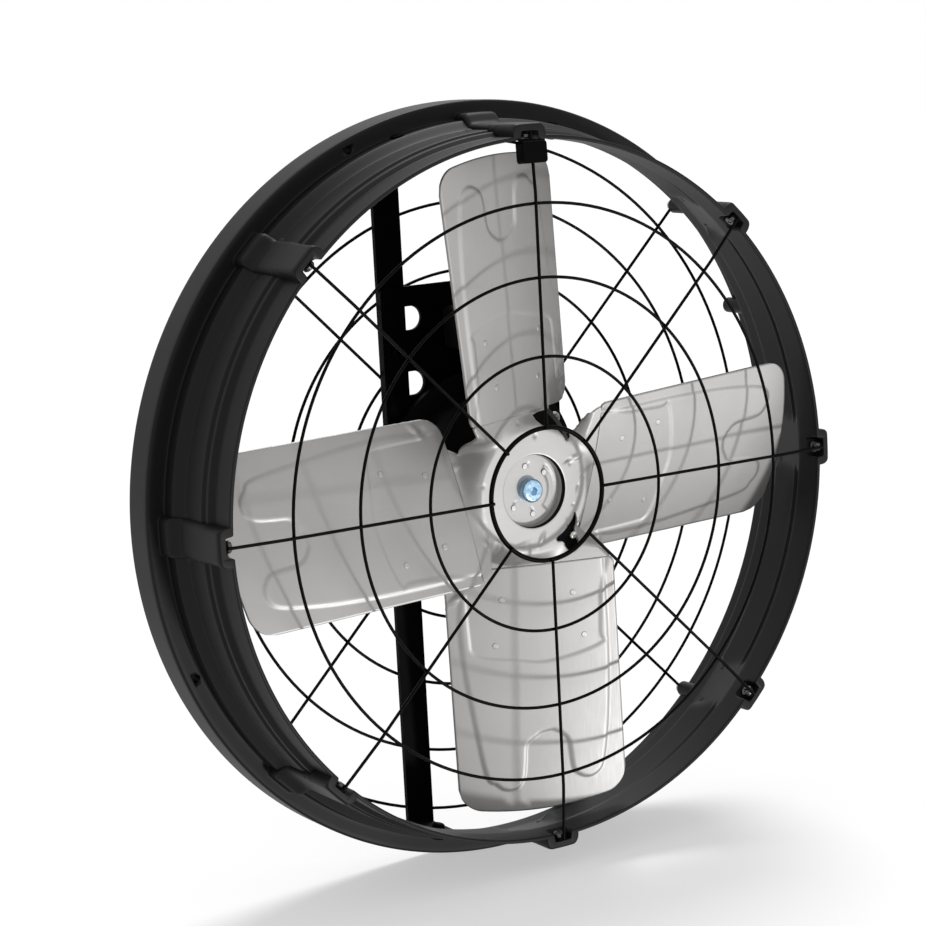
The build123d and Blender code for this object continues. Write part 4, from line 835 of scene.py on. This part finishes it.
arm_points, arm_faces = [], []
u_line, wide = np.linspace(ARM_START, ARM_END, 70), np.linspace(-1, 1, 45)
for i in range(4):
    first = len(arm_points)
    for u in u_line:
        half_width = np.interp(u, (JOINT, ARM_END), (ARM_NECK_HALF, ARM_END_HALF))
        corner = np.clip((u - (ARM_END - ARM_CORNER)) / ARM_CORNER, 0, 1)
        s = (half_width - ARM_CORNER * (1 - math.sqrt(1 - corner ** 2))) * wide
        d = sheet_depth(u, s) if u > JOINT else hub_sheet_depth(np.hypot(u, s), np.arctan2(s, u))
        arm_points += list(turned(np.stack([np.full(len(s), u), d + BEHIND, s], axis=-1),
                                  BLADE_TURN + i * math.pi / 2))
    arm_faces += [tuple(first + k for k in face) for face in grid_faces(len(u_line), len(wide))]
arms = new_piece("hub_arms", arm_points, arm_faces, 60)
for piece, thickness in ((hub, SHEET), (arms, ARM_SHEET)):
    place = np.zeros(len(piece.data.vertices) * 3, np.float32)
    piece.data.vertices.foreach_get("co", place)
    pressed(piece, place.reshape(-1, 3)[:, ::2], thickness)

# painted shade: the dish's steep wall takes a near-black material of its own, as it lies in deep shade
painted_shade_wall, nodes, links, shader = new_material("painted_shade_wall")
scuffs = object_noise(nodes, links, 300, 3)
shader.inputs["Base Color"].default_value = (0.004, 0.004, 0.004, 1)
links.new(spread(nodes, links, scuffs.outputs["Fac"], 0.5, 0.7), shader.inputs["Roughness"])
shader.inputs["Specular IOR Level"].default_value = 0.1
hub.data.materials.append(painted_shade_wall)
# the steep faces of the dish's wall get the painted shade
for face in hub.data.polygons:
    if abs(face.normal.y) < 0.75 and DISH_WALL[0] < math.hypot(face.center.x, face.center.z) < DISH_WALL[1]:
        face.material_index = 1
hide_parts("impeller_spider")

# the plate behind the hole follows the pressing
centres = hub_points.reshape(-1, 3)[hub_faces].mean(axis=1)
covered = distance_to(smooth_curve(LOWER_HOLE, 4), centres[:, 0], centres[:, 2]) < BACK_LAP
plate_points = hub_points.reshape(-1, 3) + np.array((0, BACK_GAP, 0))
back_plate = cut_sheet("hub_back_plate", plate_points, hub_faces[covered])
back_plate.data.materials.append(paint)
thickened(back_plate, BACK_SHEET)
head = lathe("hub_plate_screw", [(ON_AXIS, 24.2), (3.3, 24.2), (3.3, 22.6), (2.9, 22.0), (1.9, 21.6),
                                 (1.5, 21.6), (1.3, 22.3), (ON_AXIS, 22.3)], 28)
head.data.transform(Matrix.Translation((BACK_SCREW[0] / 1000, 0, BACK_SCREW[1] / 1000)))
head.data.materials.append(zinc)
for piece in (back_plate, head):
    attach(piece, "impeller")


# ---- Bush, bolt and rivets of the impeller ----
# A die cast bush carries the spider on the motor shaft. A blue passivated bolt with its washer pulls it
# home, four pins clinch hub and bush together, and four rivets hold each blade.
cast_metal, nodes, links, shader = new_material("die_cast")
skin = object_noise(nodes, links, 220, 4)
shader.inputs["Base Color"].default_value = (0.42, 0.42, 0.42, 1)
shader.inputs["Metallic"].default_value = 1.0
links.new(spread(nodes, links, skin.outputs["Fac"], 0.38, 0.55), shader.inputs["Roughness"])
bumped(nodes, links, shader, skin.outputs["Fac"], 0.0002, 0.5, 0.0005)
finished(cast_metal, "hub_bush", "blade_rivets", "hub_rivets")
blue_zinc, nodes, links, shader = new_material("blue_zinc")
tint = object_noise(nodes, links, 380, 3)
links.new(colour_range(nodes, links, tint.outputs["Fac"], (0.26, 0.44, 0.62), (0.50, 0.68, 0.82)),
          shader.inputs["Base Color"])
shader.inputs["Metallic"].default_value = 1.0
links.new(spread(nodes, links, tint.outputs["Fac"], 0.18, 0.3), shader.inputs["Roughness"])
bumped(nodes, links, shader, tint.outputs["Fac"], 0.00006, 0.5, 0.0005)
finished(blue_zinc, "hub_bolt", "hub_washer")


# ---- Studio ----
# A pale floor that runs out to white under an even sky, a broad soft lamp behind on the right that casts
# the shadow forwards, and a smaller one low in front that lights the blades through the grille.
FLOOR_Z, FLOOR_HALF, PAPER, PAPER_GLOW = CAD_BOX[0][2], 9.0, 0.5, 0.47
SKY_LIGHT, SKY_SEEN = 0.55, 1.0
floor_mesh = bpy.data.meshes.new("floor")
corners = [(x * FLOOR_HALF, y * FLOOR_HALF, FLOOR_Z) for x, y in ((-1, -1), (1, -1), (1, 1), (-1, 1))]
floor_mesh.from_pydata(corners, [], [(0, 1, 2, 3)])
floor = bpy.data.objects.new("floor", floor_mesh)
bpy.context.collection.objects.link(floor)
paper = bpy.data.materials.new("pale_floor")
paper.use_nodes = True
nodes, links = paper.node_tree.nodes, paper.node_tree.links
nodes.remove(nodes["Principled BSDF"])
matt = nodes.new("ShaderNodeBsdfDiffuse")
matt.inputs["Color"].default_value = (PAPER, PAPER, PAPER, 1)
glow = nodes.new("ShaderNodeEmission")
glow.inputs["Strength"].default_value = PAPER_GLOW
both = nodes.new("ShaderNodeAddShader")
ray = nodes.new("ShaderNodeLightPath")


def seen_directly(nodes, links, ray):
    """1 for camera, glossy and transmission rays."""
    first, second = nodes.new("ShaderNodeMath"), nodes.new("ShaderNodeMath")
    first.operation = second.operation = "MAXIMUM"
    links.new(ray.outputs["Is Camera Ray"], first.inputs[0])
    links.new(ray.outputs["Is Glossy Ray"], first.inputs[1])
    links.new(first.outputs["Value"], second.inputs[0])
    links.new(ray.outputs["Is Transmission Ray"], second.inputs[1])
    return second.outputs["Value"]


lit = nodes.new("ShaderNodeMixShader")
links.new(seen_directly(nodes, links, ray), lit.inputs["Fac"])
links.new(matt.outputs["BSDF"], both.inputs[0])
links.new(glow.outputs["Emission"], both.inputs[1])
links.new(matt.outputs["BSDF"], lit.inputs[1])
links.new(both.outputs["Shader"], lit.inputs[2])
links.new(lit.outputs["Shader"], nodes["Material Output"].inputs["Surface"])
floor_mesh.materials.append(paper)
floor.visible_shadow = False              # the low front lamp shines past it

world = bpy.data.worlds.new("studio")
bpy.context.scene.world = world
world.use_nodes = True
nodes, links = world.node_tree.nodes, world.node_tree.links
soft, white = nodes["Background"], nodes.new("ShaderNodeBackground")
soft.inputs["Color"].default_value = (1, 1, 1, 1)
soft.inputs["Strength"].default_value = SKY_LIGHT
white.inputs["Color"].default_value = (1, 1, 1, 1)
white.inputs["Strength"].default_value = SKY_SEEN
choose = nodes.new("ShaderNodeMixShader")
links.new(seen_directly(nodes, links, nodes.new("ShaderNodeLightPath")), choose.inputs["Fac"])
links.new(soft.outputs["Background"], choose.inputs[1])
links.new(white.outputs["Background"], choose.inputs[2])
links.new(choose.outputs["Shader"], nodes["World Output"].inputs["Surface"])


def far_light(name, direction, strength, spread_angle):
    """Parallel light that travels in a direction, softened by a spread in degrees."""
    lamp = bpy.data.lights.new(name, "SUN")
    lamp.energy, lamp.angle = strength, math.radians(spread_angle)
    holder = bpy.data.objects.new(name, lamp)
    bpy.context.collection.objects.link(holder)
    holder.rotation_mode = "QUATERNION"
    holder.rotation_quaternion = Vector(direction).to_track_quat("-Z", "Y")


far_light("back_light", (-0.354, -0.354, -0.866), 2.2, 26)
far_light("front_light", (-0.3, 0.85, 0.43), 1.65, 7)


# ---- Camera ----
# It stands to the left of the fan's axis and a little above it, rolled by three degrees, with a lens as
# long as the photograph's.
FOCAL, HALF_FRAME, SENSOR = 2569.22, 463.0, 36.0      # pixels, pixels, mm
SHIFT_X, SHIFT_Y, DISTANCE = 63.85, -23.28, 1891.25   # mm
azimuth, height, roll = (math.radians(v) for v in (-32.3, 9.73, -3.04))
back = Vector((math.sin(azimuth) * math.cos(height), -math.cos(azimuth) * math.cos(height), math.sin(height)))
level = Vector((0, 0, 1)).cross(back).normalized()
upright = back.cross(level)
right = level * math.cos(roll) + upright * math.sin(roll)
up = upright * math.cos(roll) - level * math.sin(roll)
place = back * DISTANCE - right * SHIFT_X - up * SHIFT_Y
place.y -= WALL_DEPTH
lens = bpy.data.cameras.new("camera")
lens.sensor_width = SENSOR
lens.lens = FOCAL / (2 * HALF_FRAME) * SENSOR
lens.clip_start, lens.clip_end = 0.05, 60
camera = bpy.data.objects.new("camera", lens)
bpy.context.collection.objects.link(camera)
turn_matrix = Matrix((right, up, back)).transposed().to_4x4()
camera.matrix_world = Matrix.Translation(place / 1000) @ turn_matrix
bpy.context.scene.camera = camera
bpy.context.scene.view_settings.view_transform = "Standard"
